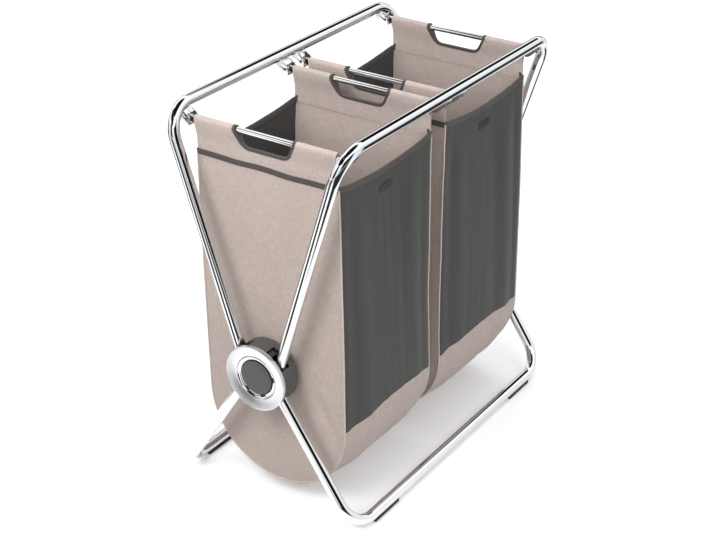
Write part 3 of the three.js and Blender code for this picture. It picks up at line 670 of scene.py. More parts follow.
# a dark ring and blocks under the cap, standing for painted shade
capShadeRing = {"bore": 0.026, "radius": 0.0317, "thick": 0.0006, "gap": 0.0002, "shadeBlocks": (-127, -71, 8),
          "shadeBlockWide": 0.0076, "shadeBlockDeep": 0.0046, "shadeBlockOut": 0.0024, "shadeBlockDrop": 0.0004, "shadeBlockEdge": 0.0007}


def capShadeRingPiece():  # dark ring under the cap with raised blocks round it: painted shade for the shadow gap and the dark notches at the cap's edge
    low, high = bowl["back"] + bowl["skin"] + capShadeRing["gap"], cap["front"] - capShadeRing["shadeBlockDrop"]
    bore, radius, top = capShadeRing["bore"], capShadeRing["radius"], low + capShadeRing["thick"]
    piece = turned("cap_shade_ring", [(bore, low), (radius, low), (radius, top), (bore, top)])
    cleaned(piece)
    shadeBlocks = []
    for degrees in capShadeRing["shadeBlocks"]:
        shadeBlock = started(bpy.ops.mesh.primitive_cube_add, size=1)
        shadeBlock.scale = (high - low, capShadeRing["shadeBlockWide"], capShadeRing["shadeBlockDeep"])
        shadeBlock.location = ((low + high) / 2, 0, cap["radius"] + capShadeRing["shadeBlockOut"])
        settled(shadeBlock)
        editing(shadeBlock)
        bpy.ops.mesh.bevel(offset=capShadeRing["shadeBlockEdge"], segments=3, affect="EDGES")
        done()
        shadeBlock.rotation_euler = (math.radians(degrees - 90), 0, 0)
        settled(shadeBlock)
        shadeBlocks.append(shadeBlock)
    piece = joined([piece] + shadeBlocks, "cap_shade_ring")
    smooth(piece)
    return piece


hubPieces = [
    (drumPiece(), "drum", greyPlastic, "grey_plastic"), (ringPiece(), "ring", satin, "satin_steel"),
    (bowlPiece(), "bowl", chrome, "chrome"), (capPiece(), "cap", greyPlastic, "grey_plastic"),
    # the dark ring under the cap is painted shade, given the rubber material
    (capShadeRingPiece(), None, rubber, "rubber"),
]
for first, key, material, finish in hubPieces:
    for end, way in ends.items():
        made = copied(first, f"{end}_{first.name}", (way * tube["legPlane"], 0, hub["height"]), way < 0)
        placed(made, "hubs", material, finish, *([f"{end}_hub_{key}"] if key else []))
    bpy.data.objects.remove(first)
print("hubs made")


# Small fittings: each is its CAD solid with worn, rounded edges
fitting = {
    "bracket": {"material": chrome, "finish": "chrome", "edge": 0.00045},
    "saddle": {"material": darkPlastic, "finish": "dark_plastic", "edge": 0.0003},
    "foot": {"material": rubber, "finish": "rubber", "edge": 0.0008},
    "nut": {"material": zinc, "finish": "zinc_steel", "edge": 0.0004},
}


def easedFitting(name, facts):
    piece = bpy.data.objects.new(name + "_eased", frame["nodes"][name].data.copy())
    bpy.context.scene.collection.objects.link(piece)
    cleaned(piece, 2e-6)
    editing(piece)
    bpy.ops.mesh.dissolve_limited(angle_limit=math.radians(1))
    done()
    bevelled(piece, facts["edge"], segments=3, degrees=38)
    smooth(piece, 35)
    return piece


for body, held in frame["record"]["behaviour"]["bodies"].items():
    for name in held:
        for kind, facts in fitting.items():
            if kind in name:
                placed(easedFitting(name, facts), body, facts["material"], facts["finish"], name)
for name, node in frame["nodes"].items():  # hidden in the drums, so they keep their CAD shape
    if "plate" in name or "bolt" in name:
        # their zinc colour is darkened as painted shade
        node.data.materials.clear()
        node.data.materials.append(zinc)
print("fittings eased")


# Bags: sewn shells in metres, each drawn by its seams and filled in between
bag = {
    "flapHalf": 0.134, "bellyHalf": 0.137, "bellyTop": 0.3948, "arcCentre": 0.1675, "mouthEnd": 0.6058,
    "mouthSag": {-1: 0.014, 1: 0.015},  # at the front and the back
    "mouthLean": {-1: -0.005, 1: 0.006},
    "hemFoot": 0.5985, "hemIn": 0.0004, "sleeve": 0.0056,
    "layerGap": 0.0007, "partAbove": 0.018, "cloth": 0.0012,
    "calmAbove": 0.05, "pressedAbove": 0.01,  # over the mouth line, folds fade and the layers part
    "nettingFoot": 0.1695, "footRise": 0.011, "footWave": 0.0015,
    "nettingIn": 0.0008, "nettingUnder": 0.004, "bottomOut": 0.0004,
    "acrossSteps": 72, "alongSteps": 64, "hemSteps": 9, "sleeveSteps": 14, "flapSteps": 13,
    "nettingSteps": 70, "bottomSteps": 84,
}
bagWalls = {  # inner end panel: height, and distance from the middle of the hamper
    "near": {"seed": 3.1, "inner": ((0.60, 0.0220), (0.55, 0.0250), (0.42, 0.0285), (0.31, 0.0310),
                                    (0.23, 0.0275), (0.17, 0.0250), (0.03, 0.0240))},
    "far": {"seed": 8.7, "inner": ((0.60, 0.0215), (0.55, 0.0180), (0.475, 0.0135), (0.40, 0.0105),
                                   (0.29, 0.0080), (0.21, 0.0075), (0.17, 0.0095), (0.03, 0.0120))},
}
drape = {
    "seamWobble": 0.0009, "wallWobble": 0.0006,
    "puff": 0.0018, "puffBelow": 0.0024, "puffReach": 0.010,  # roundness of the cloth beside a seam
    "belly": 0.0035,
    "pleats": ((0.0030, 0.055, 0.022), (-0.0022, 0.024, 0.012)),  # depth, distance from the seam, width
    "folds": ((0.0026, 3.6, 1.6), (0.0013, 7.5, 1.9), (0.0007, 19.0, 7.0)),  # depth, across, along
    "foldReach": 0.014,
    "panelFolds": ((0.0036, 9.5, 2.1), (0.0016, 24, 6.5), (0.0006, 60, 19)),
    "hangOver": 0.22,  # the folds of a panel grow over this much below the mouth
    "lowOut": (0.0030, 0.36, 0.2), "highIn": (0.0026, 0.3, 0.15),  # push, from this height, over this much
    "creases": (  # start and end (y, z), depth and width
        (0.035, 0.215, 0.112, 0.075, 0.0060, 0.011),
        (0.070, 0.235, 0.128, 0.140, 0.0044, 0.009),
        (-0.050, 0.210, -0.105, 0.110, 0.0022, 0.012),
        (0.020, 0.470, 0.110, 0.330, 0.0016, 0.020),
    ),
    # the hub's nut stands close to the outer panel, which may bulge less near it
    "nut": {"free": 0.0016, "away": 0.004, "below": 0.012, "near": 0.035, "over": 0.05},
}


def eased(share):
    share = min(max(share, 0.0), 1.0)
    return share * share * (3 - 2 * share)


def alongTable(table, height):  # a smooth reading of the wall's places, from high to low
    if height >= table[0][0]:
        return table[0][1]
    for (high, first), (low, second) in zip(table, table[1:]):
        if height >= low:
            return first + (second - first) * eased((high - height) / (high - low))
    return table[-1][1]


def ripple(x, y, seed):
    return noise.noise(Vector((x, y, seed)))


class BagShape:
    # Places on one bag. "depth" runs from the front mouth down, round the bottom and up the back.
    def __init__(self, end):
        self.end, self.way = end, ends[end]
        self.innerWall, self.seed = bagWalls[end]["inner"], bagWalls[end]["seed"]
        taper = math.hypot(bag["mouthEnd"] - bag["bellyTop"], bag["bellyHalf"] - bag["flapHalf"])
        self.marks = (taper, taper + bag["bellyTop"] - bag["arcCentre"])
        self.full = 2 * self.marks[1] + math.pi * bag["bellyHalf"]
        self.turn = self.marks[1] + bag["bellyHalf"] * math.pi / 4  # where a side ends and the bottom starts
        self.nettingFoot = self.marks[1] - (bag["nettingFoot"] - bag["arcCentre"])

    def section(self, depth):  # (y, z) and the outward normal, on the flat outline
        side = -1
        if depth > self.full / 2:
            side, depth = 1, self.full - depth
        if depth < self.marks[0]:
            share = depth / self.marks[0]
            y = bag["flapHalf"] + (bag["bellyHalf"] - bag["flapHalf"]) * share
            z = bag["mouthEnd"] - (bag["mouthEnd"] - bag["bellyTop"]) * share
            return side * y, z, side, 0.0
        if depth < self.marks[1]:
            return side * bag["bellyHalf"], bag["bellyTop"] - (depth - self.marks[0]), side, 0.0
        angle = (depth - self.marks[1]) / bag["bellyHalf"]
        cosine, sine = math.cos(angle), math.sin(angle)
        return (side * bag["bellyHalf"] * cosine, bag["arcCentre"] - bag["bellyHalf"] * sine,
                side * cosine, -sine)

    def wallX(self, place, height):  # unsigned distance of an end wall from the middle
        if place == "outer":
            return rod["outerX"] + drape["wallWobble"] * ripple(height * 9, 0.3, self.seed)
        return alongTable(self.innerWall, height)

    def seam(self, place, depth):  # a point of the seam between an end panel and the strip
        y, z, ny, nz = self.section(depth)
        wobble = drape["seamWobble"] * ripple(depth * 7, 1.7 if place == "outer" else 4.1, self.seed)
        return Vector((self.way * self.wallX(place, z), y + ny * wobble, z + nz * wobble))

    def dip(self, share, side):  # the mouth's sag
        return 4 * bag["mouthSag"][side] * share * (1 - share)

    def foot(self, share):  # the netting's lower seam, which rises a little between the end panels
        rise = bag["footRise"] * math.sin(math.pi * share ** 0.8)
        return self.nettingFoot - rise + bag["footWave"] * ripple(share * 5, 0.2, self.seed)

    def strip(self, depth, share, off=0.0):  # share runs from the inner to the outer end panel
        inner, outer = self.seam("inner", depth), self.seam("outer", depth)
        ny, nz = self.section(depth)[2:]
        edge = min(share, 1 - share) * (outer - inner).length
        side = -1 if depth < self.full / 2 else 1
        seed = self.seed + 2.5 + 2.5 * side
        hang = min(depth, self.full - depth) / self.marks[1]  # 0 at the mouth, 1 where the bottom starts
        belowTape = eased(hang / 0.25)
        puff = (drape["puff"] + drape["puffBelow"] * eased(hang)) * (1 - math.exp(-edge / drape["puffReach"]))
        middle = math.sin(math.pi * share)
        belly = drape["belly"] * middle * eased(hang)
        belly += bag["mouthLean"][side] * middle * (1 - eased(hang * 1.2))
        pleat = sum(deep * math.exp(-((edge - at) / wide) ** 2) for deep, at, wide in drape["pleats"])
        folds = sum(deep * ripple(share * across, depth * along, seed + 2.0 * index)
                    for index, (deep, across, along) in enumerate(drape["folds"]))
        folds *= (1 - math.exp(-edge / drape["foldReach"])) * (0.35 + 0.65 * belowTape)
        push = puff + belly + folds + pleat * belowTape * (1 - eased(hang - 0.75)) + off
        return inner.lerp(outer, share) + push * Vector((0, ny, nz))

    def flapX(self, place, height, side):  # the two cloth layers that part below the rod
        start = bag["mouthEnd"] + bag["partAbove"]
        spread = eased((height - start) / (rod["height"] - start))
        reach = bag["layerGap"] + (bag["sleeve"] - bag["layerGap"]) * spread
        return self.wallX(place, bag["mouthEnd"]) + side * reach

    def panelPush(self, place, y, z, fade):
        out = panelWays[place]
        hang = eased((bag["mouthEnd"] - z) / drape["hangOver"])
        push = sum(deep * ripple(y * across, z * along, self.seed + (11 + 2 * index) + out)
                   for index, (deep, across, along) in enumerate(drape["panelFolds"])) * (0.25 + 0.75 * hang)
        lowOut, lowFrom, lowOver = drape["lowOut"]
        highIn, highFrom, highOver = drape["highIn"]
        push += lowOut * eased((lowFrom - z) / lowOver) - highIn * hang * eased((z - highFrom) / highOver)
        if place == "outer":  # soft creases beside the lower leg
            for startY, startZ, endY, endZ, deep, wide in drape["creases"]:
                run, off = Vector((endY - startY, endZ - startZ)), Vector((self.way * y - startY, z - startZ))
                share = off.dot(run) / run.length_squared
                beside = (off - run * share).length / wide
                push -= deep * math.exp(-beside * beside) * eased(share / 0.3) * eased((1.1 - share) / 0.3)
            nut = drape["nut"]
            fromNut = abs(z - hub["height"] + nut["below"])
            push = min(push, nut["free"] + nut["away"] * eased((fromNut - nut["near"]) / nut["over"]))
        return out * push * fade

    def panel(self, place, across, down):  # both run 0..1, down starts at the mouth line
        turn, full = self.turn, self.full
        sides = [self.seam(place, down * turn), self.seam(place, full - down * turn)]
        bottom = self.seam(place, turn + across * (full - 2 * turn))
        top = Vector((self.way * self.wallX(place, bag["mouthEnd"]),
                      -bag["flapHalf"] + 2 * bag["flapHalf"] * across, bag["mouthEnd"]))
        corners = [self.seam(place, depth) for depth in (0.0, full, turn, full - turn)]
        point = sides[0].lerp(sides[1], across) + top.lerp(bottom, down)
        point -= corners[0].lerp(corners[1], across).lerp(corners[2].lerp(corners[3], across), down)
        fade = (1 - (2 * across - 1) ** 8) * (1 - down ** 7)
        base = self.wallX(place, point.z)
        point.x = self.way * (base + self.panelPush(place, point.y, point.z, fade))
        return point

    def flap(self, place, across, height):  # outer face of an end panel above the mouth line
        out, above = panelWays[place], height - bag["mouthEnd"]
        y = -bag["flapHalf"] + 2 * bag["flapHalf"] * across
        lift = self.panelPush(place, y, height, 1 - (2 * across - 1) ** 8)
        lift *= 1 - eased(above / bag["calmAbove"])
        pressed = out * bag["layerGap"] * (1 - eased(above / bag["pressedAbove"]))
        x = self.flapX(place, height, out) - pressed + lift
        return Vector((self.way * x, y, height))


def meshPiece(name, shell, outwards=True):
    if outwards:
        bmesh.ops.recalc_face_normals(shell, faces=shell.faces)
    piece = bpy.data.objects.new(name, bpy.data.meshes.new(name))
    bpy.context.scene.collection.objects.link(piece)
    shell.to_mesh(piece.data)
    shell.free()
    return piece


def distances(points):  # from the first point to each, along the line
    run = [0.0]
    for first, second in zip(points, points[1:]):
        run.append(run[-1] + (second - first).length)
    return run


def quad(shell, layer, corners, uvs):
    face = shell.faces.new(corners)
    face.smooth = True
    for loop, uv in zip(face.loops, uvs):
        loop[layer].uv = uv


def sheetMesh(name, grid, unit):  # grid of points, unit is the map's size per step
    shell = bmesh.new()
    layer = shell.loops.layers.uv.new("map")
    corners = [[shell.verts.new(point) for point in line] for line in grid]
    down = distances([line[len(line) // 2] for line in grid])
    for i in range(len(grid) - 1):
        for j in range(len(grid[0]) - 1):
            spots = ((i, j), (i, j + 1), (i + 1, j + 1), (i + 1, j))
            quad(shell, layer, [corners[line][step] for line, step in spots],
                 [(step * unit, down[line]) for line, step in spots])
    return meshPiece(name, shell, outwards=False)


def loopMesh(name, rings, spine=None):  # closed rings of points, joined into a tube with two ends
    shell = bmesh.new()
    layer = shell.loops.layers.uv.new("map")
    loops = [[shell.verts.new(point) for point in points] for points in rings]
    run = distances(spine or [points[0] for points in rings])
    girth = distances(rings[0] + rings[0][:1])
    count = len(rings[0])
    for i in range(len(loops) - 1):
        for k in range(count):
            spots = ((i, k), (i, k + 1), (i + 1, k + 1), (i + 1, k))
            quad(shell, layer, [loops[line][step % count] for line, step in spots],
                 [(run[line], girth[step]) for line, step in spots])
    shell.faces.new(loops[0])
    shell.faces.new(loops[-1])
    return meshPiece(name, shell)


def sweptMesh(name, frames, sections):  # one section for all the frames, or one for each
    if not isinstance(sections[0][0], tuple):
        sections = [sections] * len(frames)
    rings = [[point + first * across + second * along for across, along in section]
             for (point, first, second), section in zip(frames, sections)]
    return loopMesh(name, rings, [point for point, first, second in frames])


def ellipse(wide, high, count=10):
    turns = [2 * math.pi * k / count for k in range(count)]
    return [(wide * math.cos(angle), high * math.sin(angle)) for angle in turns]


def clothWall(piece, face, outwards):  # a sheet turned the right way out gets its thickness
    if face.normal.dot(outwards) < 0:
        editing(piece)
        bpy.ops.mesh.flip_normals()
        done()
    modified(piece, "SOLIDIFY", thickness=bag["cloth"], offset=0, use_even_offset=False)


grip = {"half": 0.055, "footHalf": 0.041, "depth": 0.026, "corner": 0.010,
        "past": 0.02,  # how far the cutter reaches above the rod and to each side
        "sideSteps": 8, "cornerSteps": 7, "floorSteps": 10}


def gripEdge():  # (y, z) along the cut edge, from the rod on one side to the other
    floor, corner, steps = rod["height"] - grip["depth"], grip["corner"], grip["cornerSteps"]
    slope = (grip["half"] - grip["footHalf"]) / grip["depth"]
    start = Vector((-grip["footHalf"] - slope * corner, floor + corner))
    bend, finish = Vector((-grip["footHalf"], floor)), Vector((corner - grip["footHalf"], floor))
    top = Vector((-grip["half"], rod["height"]))
    side = [top.lerp(start, i / grip["sideSteps"]) for i in range(grip["sideSteps"])]
    curve = [start.lerp(bend, i / steps).lerp(bend.lerp(finish, i / steps), i / steps)
             for i in range(steps + 1)]
    level = [Vector((finish.x * (1 - i / grip["floorSteps"]), floor)) for i in range(1, grip["floorSteps"])]
    half = side + curve + level
    return half + [Vector((0, floor))] + [Vector((-point.x, point.y)) for point in reversed(half)]


def gripCutter(x):
    top = rod["height"] + grip["past"]
    points = [(-grip["half"], top)] + [tuple(point) for point in gripEdge()] + [(grip["half"], top)]
    shell = bmesh.new()
    face = shell.faces.new([shell.verts.new((x - grip["past"], y, z)) for y, z in points])
    made = bmesh.ops.extrude_face_region(shell, geom=[face])["geom"]
    corners = [part for part in made if isinstance(part, bmesh.types.BMVert)]
    bmesh.ops.translate(shell, vec=(2 * grip["past"], 0, 0), verts=corners)
    return meshPiece("gripCutter", shell)


def endPanel(shape, place):
    out, count = panelWays[place], bag["acrossSteps"]
    base = shape.wallX(place, bag["mouthEnd"])
    across = [-bag["flapHalf"] + 2 * bag["flapHalf"] * j / count for j in range(count + 1)]
    grid = []
    for step in range(bag["hemSteps"]):  # inside layer of the hem, from its edge up to the rod
        height = bag["hemFoot"] + (rod["height"] - bag["hemFoot"]) * step / bag["hemSteps"]
        x = shape.flapX(place, height, -out)
        grid.append([Vector((shape.way * (x - out * bag["hemIn"]), y, height)) for y in across])
    for step in range(bag["sleeveSteps"] + 1):  # over the rod
        angle = math.pi * (1 - step / bag["sleeveSteps"])
        x = base + out * bag["sleeve"] * math.cos(angle)
        height = rod["height"] + bag["sleeve"] * math.sin(angle)
        grid.append([Vector((shape.way * x, y, height)) for y in across])
    for step in range(1, bag["flapSteps"]):
        height = rod["height"] + (bag["mouthEnd"] - rod["height"]) * step / bag["flapSteps"]
        grid.append([shape.flap(place, j / count, height) for j in range(count + 1)])
    for step in range(bag["alongSteps"] + 1):
        grid.append([shape.panel(place, j / count, step / bag["alongSteps"]) for j in range(count + 1)])
    piece = sheetMesh(f"{shape.end}_bag_{place}_panel", grid, 2 * bag["flapHalf"] / count)
    low = min(piece.data.polygons, key=lambda face: abs(face.center.z - 0.3) + abs(face.center.y))
    clothWall(piece, low, Vector((out * shape.way, 0, 0)))
    cut(piece, gripCutter(shape.way * base))
    smooth(piece, 50)
    return piece


def stripPart(shape, name, fromDepth, toDepth, steps, off=0.0):  # depths depend on share, so an edge can dip
    count = bag["acrossSteps"]
    shares = [j / count for j in range(count + 1)]
    spans = [(share, fromDepth(share), toDepth(share)) for share in shares]
    grid = [[shape.strip(low + (high - low) * i / steps, share, off) for share, low, high in spans]
            for i in range(steps + 1)]
    piece = sheetMesh(name, grid, (rod["outerX"] - rod["innerX"]) / count)
    middle = piece.data.polygons[len(piece.data.polygons) // 2]
    heart = Vector((shape.way * 0.15, 0, max(middle.center.z, bag["arcCentre"])))
    clothWall(piece, middle, middle.center - heart)
    smooth(piece, 60)
    return piece


def framesOf(points, outwards):  # a point and its two axes, the first one outwards
    frames = []
    for i, point in enumerate(points):
        ahead = points[min(i + 1, len(points) - 1)] - points[max(i - 1, 0)]
        out = outwards[i] - ahead * (outwards[i].dot(ahead) / ahead.length_squared)
        out.normalize()
        frames.append((point, out, ahead.normalized().cross(out)))
    return frames


pipe = {"radius": 0.0014, "out": 0.0011, "endGap": 0.004, "steps": 220}


def pipingCord(shape, place):
    points, outwards = [], []
    out, gap = panelWays[place] * shape.way, pipe["endGap"]
    for i in range(pipe["steps"] + 1):
        depth = gap + (shape.full - 2 * gap) * i / pipe["steps"]
        outward = Vector((out, *shape.section(depth)[2:])).normalized()
        points.append(shape.seam(place, depth) + outward * pipe["out"])
        outwards.append(outward)
    section = ellipse(pipe["radius"], pipe["radius"])
    return sweptMesh(f"{shape.end}_bag_{place}_piping", framesOf(points, outwards), section)


mouthTape = {"height": 0.0092, "thick": 0.0010, "gap": 0.0002, "round": 0.0006, "steps": 80,
             "trim": 0.0002, "wave": 0.0009, "crossOut": 0.0004, "wrap": 0.0016}


def mouthBinding(shape, side):  # tape folded over the sagging edge of the front or back
    frames, high = [], mouthTape["height"]
    for j in range(mouthTape["steps"] + 1):
        share = j / mouthTape["steps"]
        start = shape.dip(share, side) - mouthTape["round"]
        depths = [max(depth, 0) for depth in (start, start + high)]
        edge, low = (shape.strip(depth if side < 0 else shape.full - depth, share) for depth in depths)
        up = edge - low
        up.z = abs(up.z)
        up.normalize()
        out = Vector((0, side, 0))
        frames.append((edge, (out - up * out.dot(up)).normalized(), up))
    inner, top, trim = bag["cloth"] / 2 + mouthTape["gap"], mouthTape["round"], mouthTape["trim"]
    outer = inner + mouthTape["thick"]
    half = [(inner, -high), (outer - trim, -high), (outer, -high + 2 * trim), (outer, -trim),
            (outer * 0.75, top)]
    section = half + [(0, top * 1.5)] + [(-x, y) for x, y in reversed(half)]
    section += [(-inner, -top), (inner, -top)]
    return sweptMesh(f"{shape.end}_bag_binding", frames, section)


def crossTape(shape, place):  # tape across the outside of an end panel at the mouth line
    out, count = panelWays[place] * shape.way, mouthTape["steps"]
    thick, half, edge = mouthTape["thick"], mouthTape["height"] / 2, 2 * mouthTape["trim"]
    frames = []
    for j in range(count + 1):
        across = j / count
        wave = mouthTape["wave"] * math.sin(across * 15 + shape.seed) * math.sin(math.pi * across)
        point = shape.panel(place, across, (half + wave) / shape.turn)
        point.x += out * (bag["cloth"] / 2 + mouthTape["crossOut"])
        if j in (0, count):
            point.y += (-1 if j == 0 else 1) * mouthTape["wrap"]
        frames.append((point, Vector((out, 0, 0)), Vector((0, 0, 1))))
    lower = [(-edge, -half), (thick * 0.7, -half), (thick, -half + edge)]
    section = lower + [(x, -y) for x, y in reversed(lower)]
    return sweptMesh(f"{shape.end}_bag_{place}_cross_tape", frames, section)


tab = {"wide": 0.0034, "thick": 0.0011, "low": 0.0075, "rise": 0.0115, "inwards": 0.0022,
       "fromEdge": 0.0016, "curl": 0.0026, "lean": 0.3, "steps": 6}


def cornerTabs(shape):  # ends of the binding, folded up beside the end panels
    pieces = []
    for place, panelWay in panelWays.items():
        out = panelWay * shape.way
        x = shape.way * shape.wallX(place, bag["mouthEnd"]) - out * tab["inwards"]
        for side in (-1, 1):
            frames, sections = [], []
            for k in range(tab["steps"] + 1):
                rise = k / tab["steps"]
                at = Vector((x, side * (bag["flapHalf"] - tab["fromEdge"] - tab["curl"] * rise * rise),
                             bag["mouthEnd"] - tab["low"] + tab["rise"] * rise))
                frames.append((at, Vector((out, 0, 0)), Vector((0, side, tab["lean"])).normalized()))
                sections.append(ellipse(tab["thick"] * (1.25 - 0.5 * rise), tab["wide"] * (1 - 0.25 * rise)))
            pieces.append(sweptMesh("tab", frames, sections))
    return pieces


gripTape = {"lip": 0.0007, "reach": 0.0046, "skin": 0.0011, "trim": 0.0004, "round": 0.0005,
            "collarSteps": 12}


def gripBinding(shape, place):
    base = shape.wallX(place, bag["mouthEnd"])
    edge = gripEdge()
    lip, reach, skin = gripTape["lip"], gripTape["reach"], gripTape["skin"]
    middle, trim, rounding = shape.way * base, gripTape["trim"], gripTape["round"]

    def halfAt(height):  # half thickness of the cloth layers there
        return abs(shape.flapX(place, min(height, rod["height"]), 1) - base) + bag["cloth"] / 2 + skin * 0.7

    rings = []
    for i, point in enumerate(edge):
        ahead = (edge[min(i + 1, len(edge) - 1)] - edge[max(i - 1, 0)]).normalized()
        into = Vector((ahead.y, -ahead.x))  # away from the opening, into the cloth
        inner, outer = point - into * lip, point + into * reach
        path = [(0.0, inner), (0.7, inner), (1.0, inner + into * 0.0006), (1.0, point + into * reach * 0.5),
                (1.0, outer - into * rounding), (0.75, outer)]
        path += [(-share, spot) for share, spot in reversed(path[1:])]
        rings.append([Vector((middle + share * halfAt(spot.y), spot.x, spot.y)) for share, spot in path])
    pieces = [loopMesh("binding", rings)]
    low, high = bag["sleeve"] - trim, bag["sleeve"] + bag["cloth"] / 2 + skin * 0.75
    profile = [(low, -lip), (high - trim, -lip), (high, -lip + rounding), (high, reach - rounding),
               (high - trim, reach), (low, reach)]
    for side in (-1, 1):  # collar over the sleeve's end
        rings = []
        for k in range(gripTape["collarSteps"] + 1):
            angle = math.pi * k / gripTape["collarSteps"]
            cosine, sine = math.cos(angle), math.sin(angle)
            rings.append([Vector((middle + radius * cosine, side * (grip["half"] + y),
                                  rod["height"] - trim + radius * sine)) for radius, y in profile])
        pieces.append(loopMesh("collar", rings))
    return joined(pieces, f"{shape.end}_bag_{place}_grip_edge")


tag = {"length": 0.034, "height": 0.0125, "thick": 0.0008, "top": 0.0405,
       "border": 0.0008, "sunk": 0.0001, "edge": 0.0002}


def bagTag(shape):
    point = shape.strip(tag["top"] + tag["height"] / 2, 0.5)
    piece = started(bpy.ops.mesh.primitive_cube_add, f"{shape.end}_bag_blank_tag", size=1)
    piece.scale = (tag["length"], tag["thick"], tag["height"])
    piece.location = (point.x, point.y - bag["cloth"] / 2 - tag["thick"] / 2, point.z)
    settled(piece)
    editing(piece)
    bpy.ops.mesh.subdivide(number_cuts=3)
    pick(piece, "faces", lambda face: face.normal.y < -0.9)
    bpy.ops.mesh.inset(thickness=tag["border"], depth=-tag["sunk"])
    bpy.ops.mesh.select_all(action="SELECT")
    bpy.ops.uv.smart_project()
    done()
    bevelled(piece, tag["edge"])
    smooth(piece)
    return piece


stitch = {"pitch": 0.0034, "length": 0.0025, "radius": 0.00028, "inset": 0.0013, "below": 0.003, "steps": 120,
          "panelSpan": (0.01, 0.98), "stripSpan": (0.012, 0.976),  # start and length, as shares of the width
          "overTape": 0.0001, "overCloth": 0.0005,
          "shape": ((-0.5, -0.0003, 0.6), (-0.3, 0.0, 1.0), (0.3, 0.0, 1.0), (0.5, -0.0003, 0.6))}


def stitchRows(shape):  # two along the tape on each end panel, and one below each netting
    lines, steps, half = [], stitch["steps"], bag["cloth"] / 2
    start, span = stitch["panelSpan"]
    for place in ("outer", "inner"):
        out = panelWays[place] * shape.way
        for low in (stitch["inset"], mouthTape["height"] - stitch["inset"]):
            row = [shape.panel(place, start + span * j / steps, low / shape.turn) for j in range(steps + 1)]
            lift = Vector((out * (half + mouthTape["thick"] + stitch["overTape"]), 0, 0))
            lines.append(([point + lift for point in row], Vector((out, 0, 0))))
    start, span = stitch["stripSpan"]
    for side in (-1, 1):
        depth = shape.nettingFoot + stitch["below"]
        depth = depth if side < 0 else shape.full - depth
        row = [shape.strip(depth, start + span * j / steps) for j in range(steps + 1)]
        lift = Vector((0, side * (half + stitch["overCloth"]), 0))
        lines.append(([point + lift for point in row], Vector((0, side, 0))))
    return lines


def bagStitches(shape):
    shell, radius = bmesh.new(), stitch["radius"]
    turns = [(math.cos(k * math.pi / 3), math.sin(k * math.pi / 3)) for k in range(6)]
    for row, out in stitchRows(shape):
        run = 0.0
        for first, second in zip(row, row[1:]):
            step = second - first
            along = step.normalized()
            beside = along.cross(out).normalized()
            while run < step.length:
                at = first + step * (run / step.length)
                run += stitch["pitch"]
                loops = []
                for share, lift, wide in stitch["shape"]:
                    centre = at + along * (share * stitch["length"]) + out * lift
                    loops.append([shell.verts.new(centre + (out * cosine + beside * sine) * radius * wide)
                                  for cosine, sine in turns])
                for behind, front in zip(loops, loops[1:]):
                    for k, after in zip(range(6), (1, 2, 3, 4, 5, 0)):
                        shell.faces.new((behind[k], behind[after], front[after], front[k])).smooth = True
                shell.faces.new(loops[0])
                shell.faces.new(loops[-1])
            run -= step.length
    return meshPiece(f"{shape.end}_bag_stitches", shell)


def softPiece(piece, end, material, finish, *nodes):
    placed(piece, f"{end}_bag", material, finish, *nodes)
    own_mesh(piece)


for end in ends:
    shape = BagShape(end)
    panels = [endPanel(shape, place) for place in panelWays]
    bottom = stripPart(shape, f"{end}_bag_bottom", shape.foot, lambda share: shape.full - shape.foot(share),
                       bag["bottomSteps"], bag["bottomOut"])
    softPiece(joined([bottom] + panels, f"{end}_bag_shell"), end, canvas, "canvas", f"{end}_bag_canvas")
    for row, side in rows.items():
        span = [lambda share: shape.dip(share, side) + bag["nettingIn"],
                lambda share: shape.foot(share) + bag["nettingUnder"]]
        if side > 0:
            span = [lambda share: shape.full - shape.foot(share) - bag["nettingUnder"],
                    lambda share: shape.full - shape.dip(share, side) - bag["nettingIn"]]
        piece = stripPart(shape, f"{end}_bag_{row}_mesh", *span, bag["nettingSteps"])
        softPiece(piece, end, netting, "netting", f"{end}_bag_{row}_netting")
    bands = [mouthBinding(shape, -1), mouthBinding(shape, 1)]
    bands += [crossTape(shape, place) for place in panelWays] + cornerTabs(shape)
    softPiece(joined(bands, f"{end}_bag_mouth_tape"), end, tape, "tape", f"{end}_bag_tape")
    for place in panelWays:
        softPiece(gripBinding(shape, place), end, tape, "tape", f"{end}_bag_{place}_grip_binding")
        softPiece(pipingCord(shape, place), end, piping, "canvas")
    softPiece(bagTag(shape), end, label, "tape", f"{end}_bag_tag")
    softPiece(bagStitches(shape), end, thread, "canvas")
    print(end, "bag made")


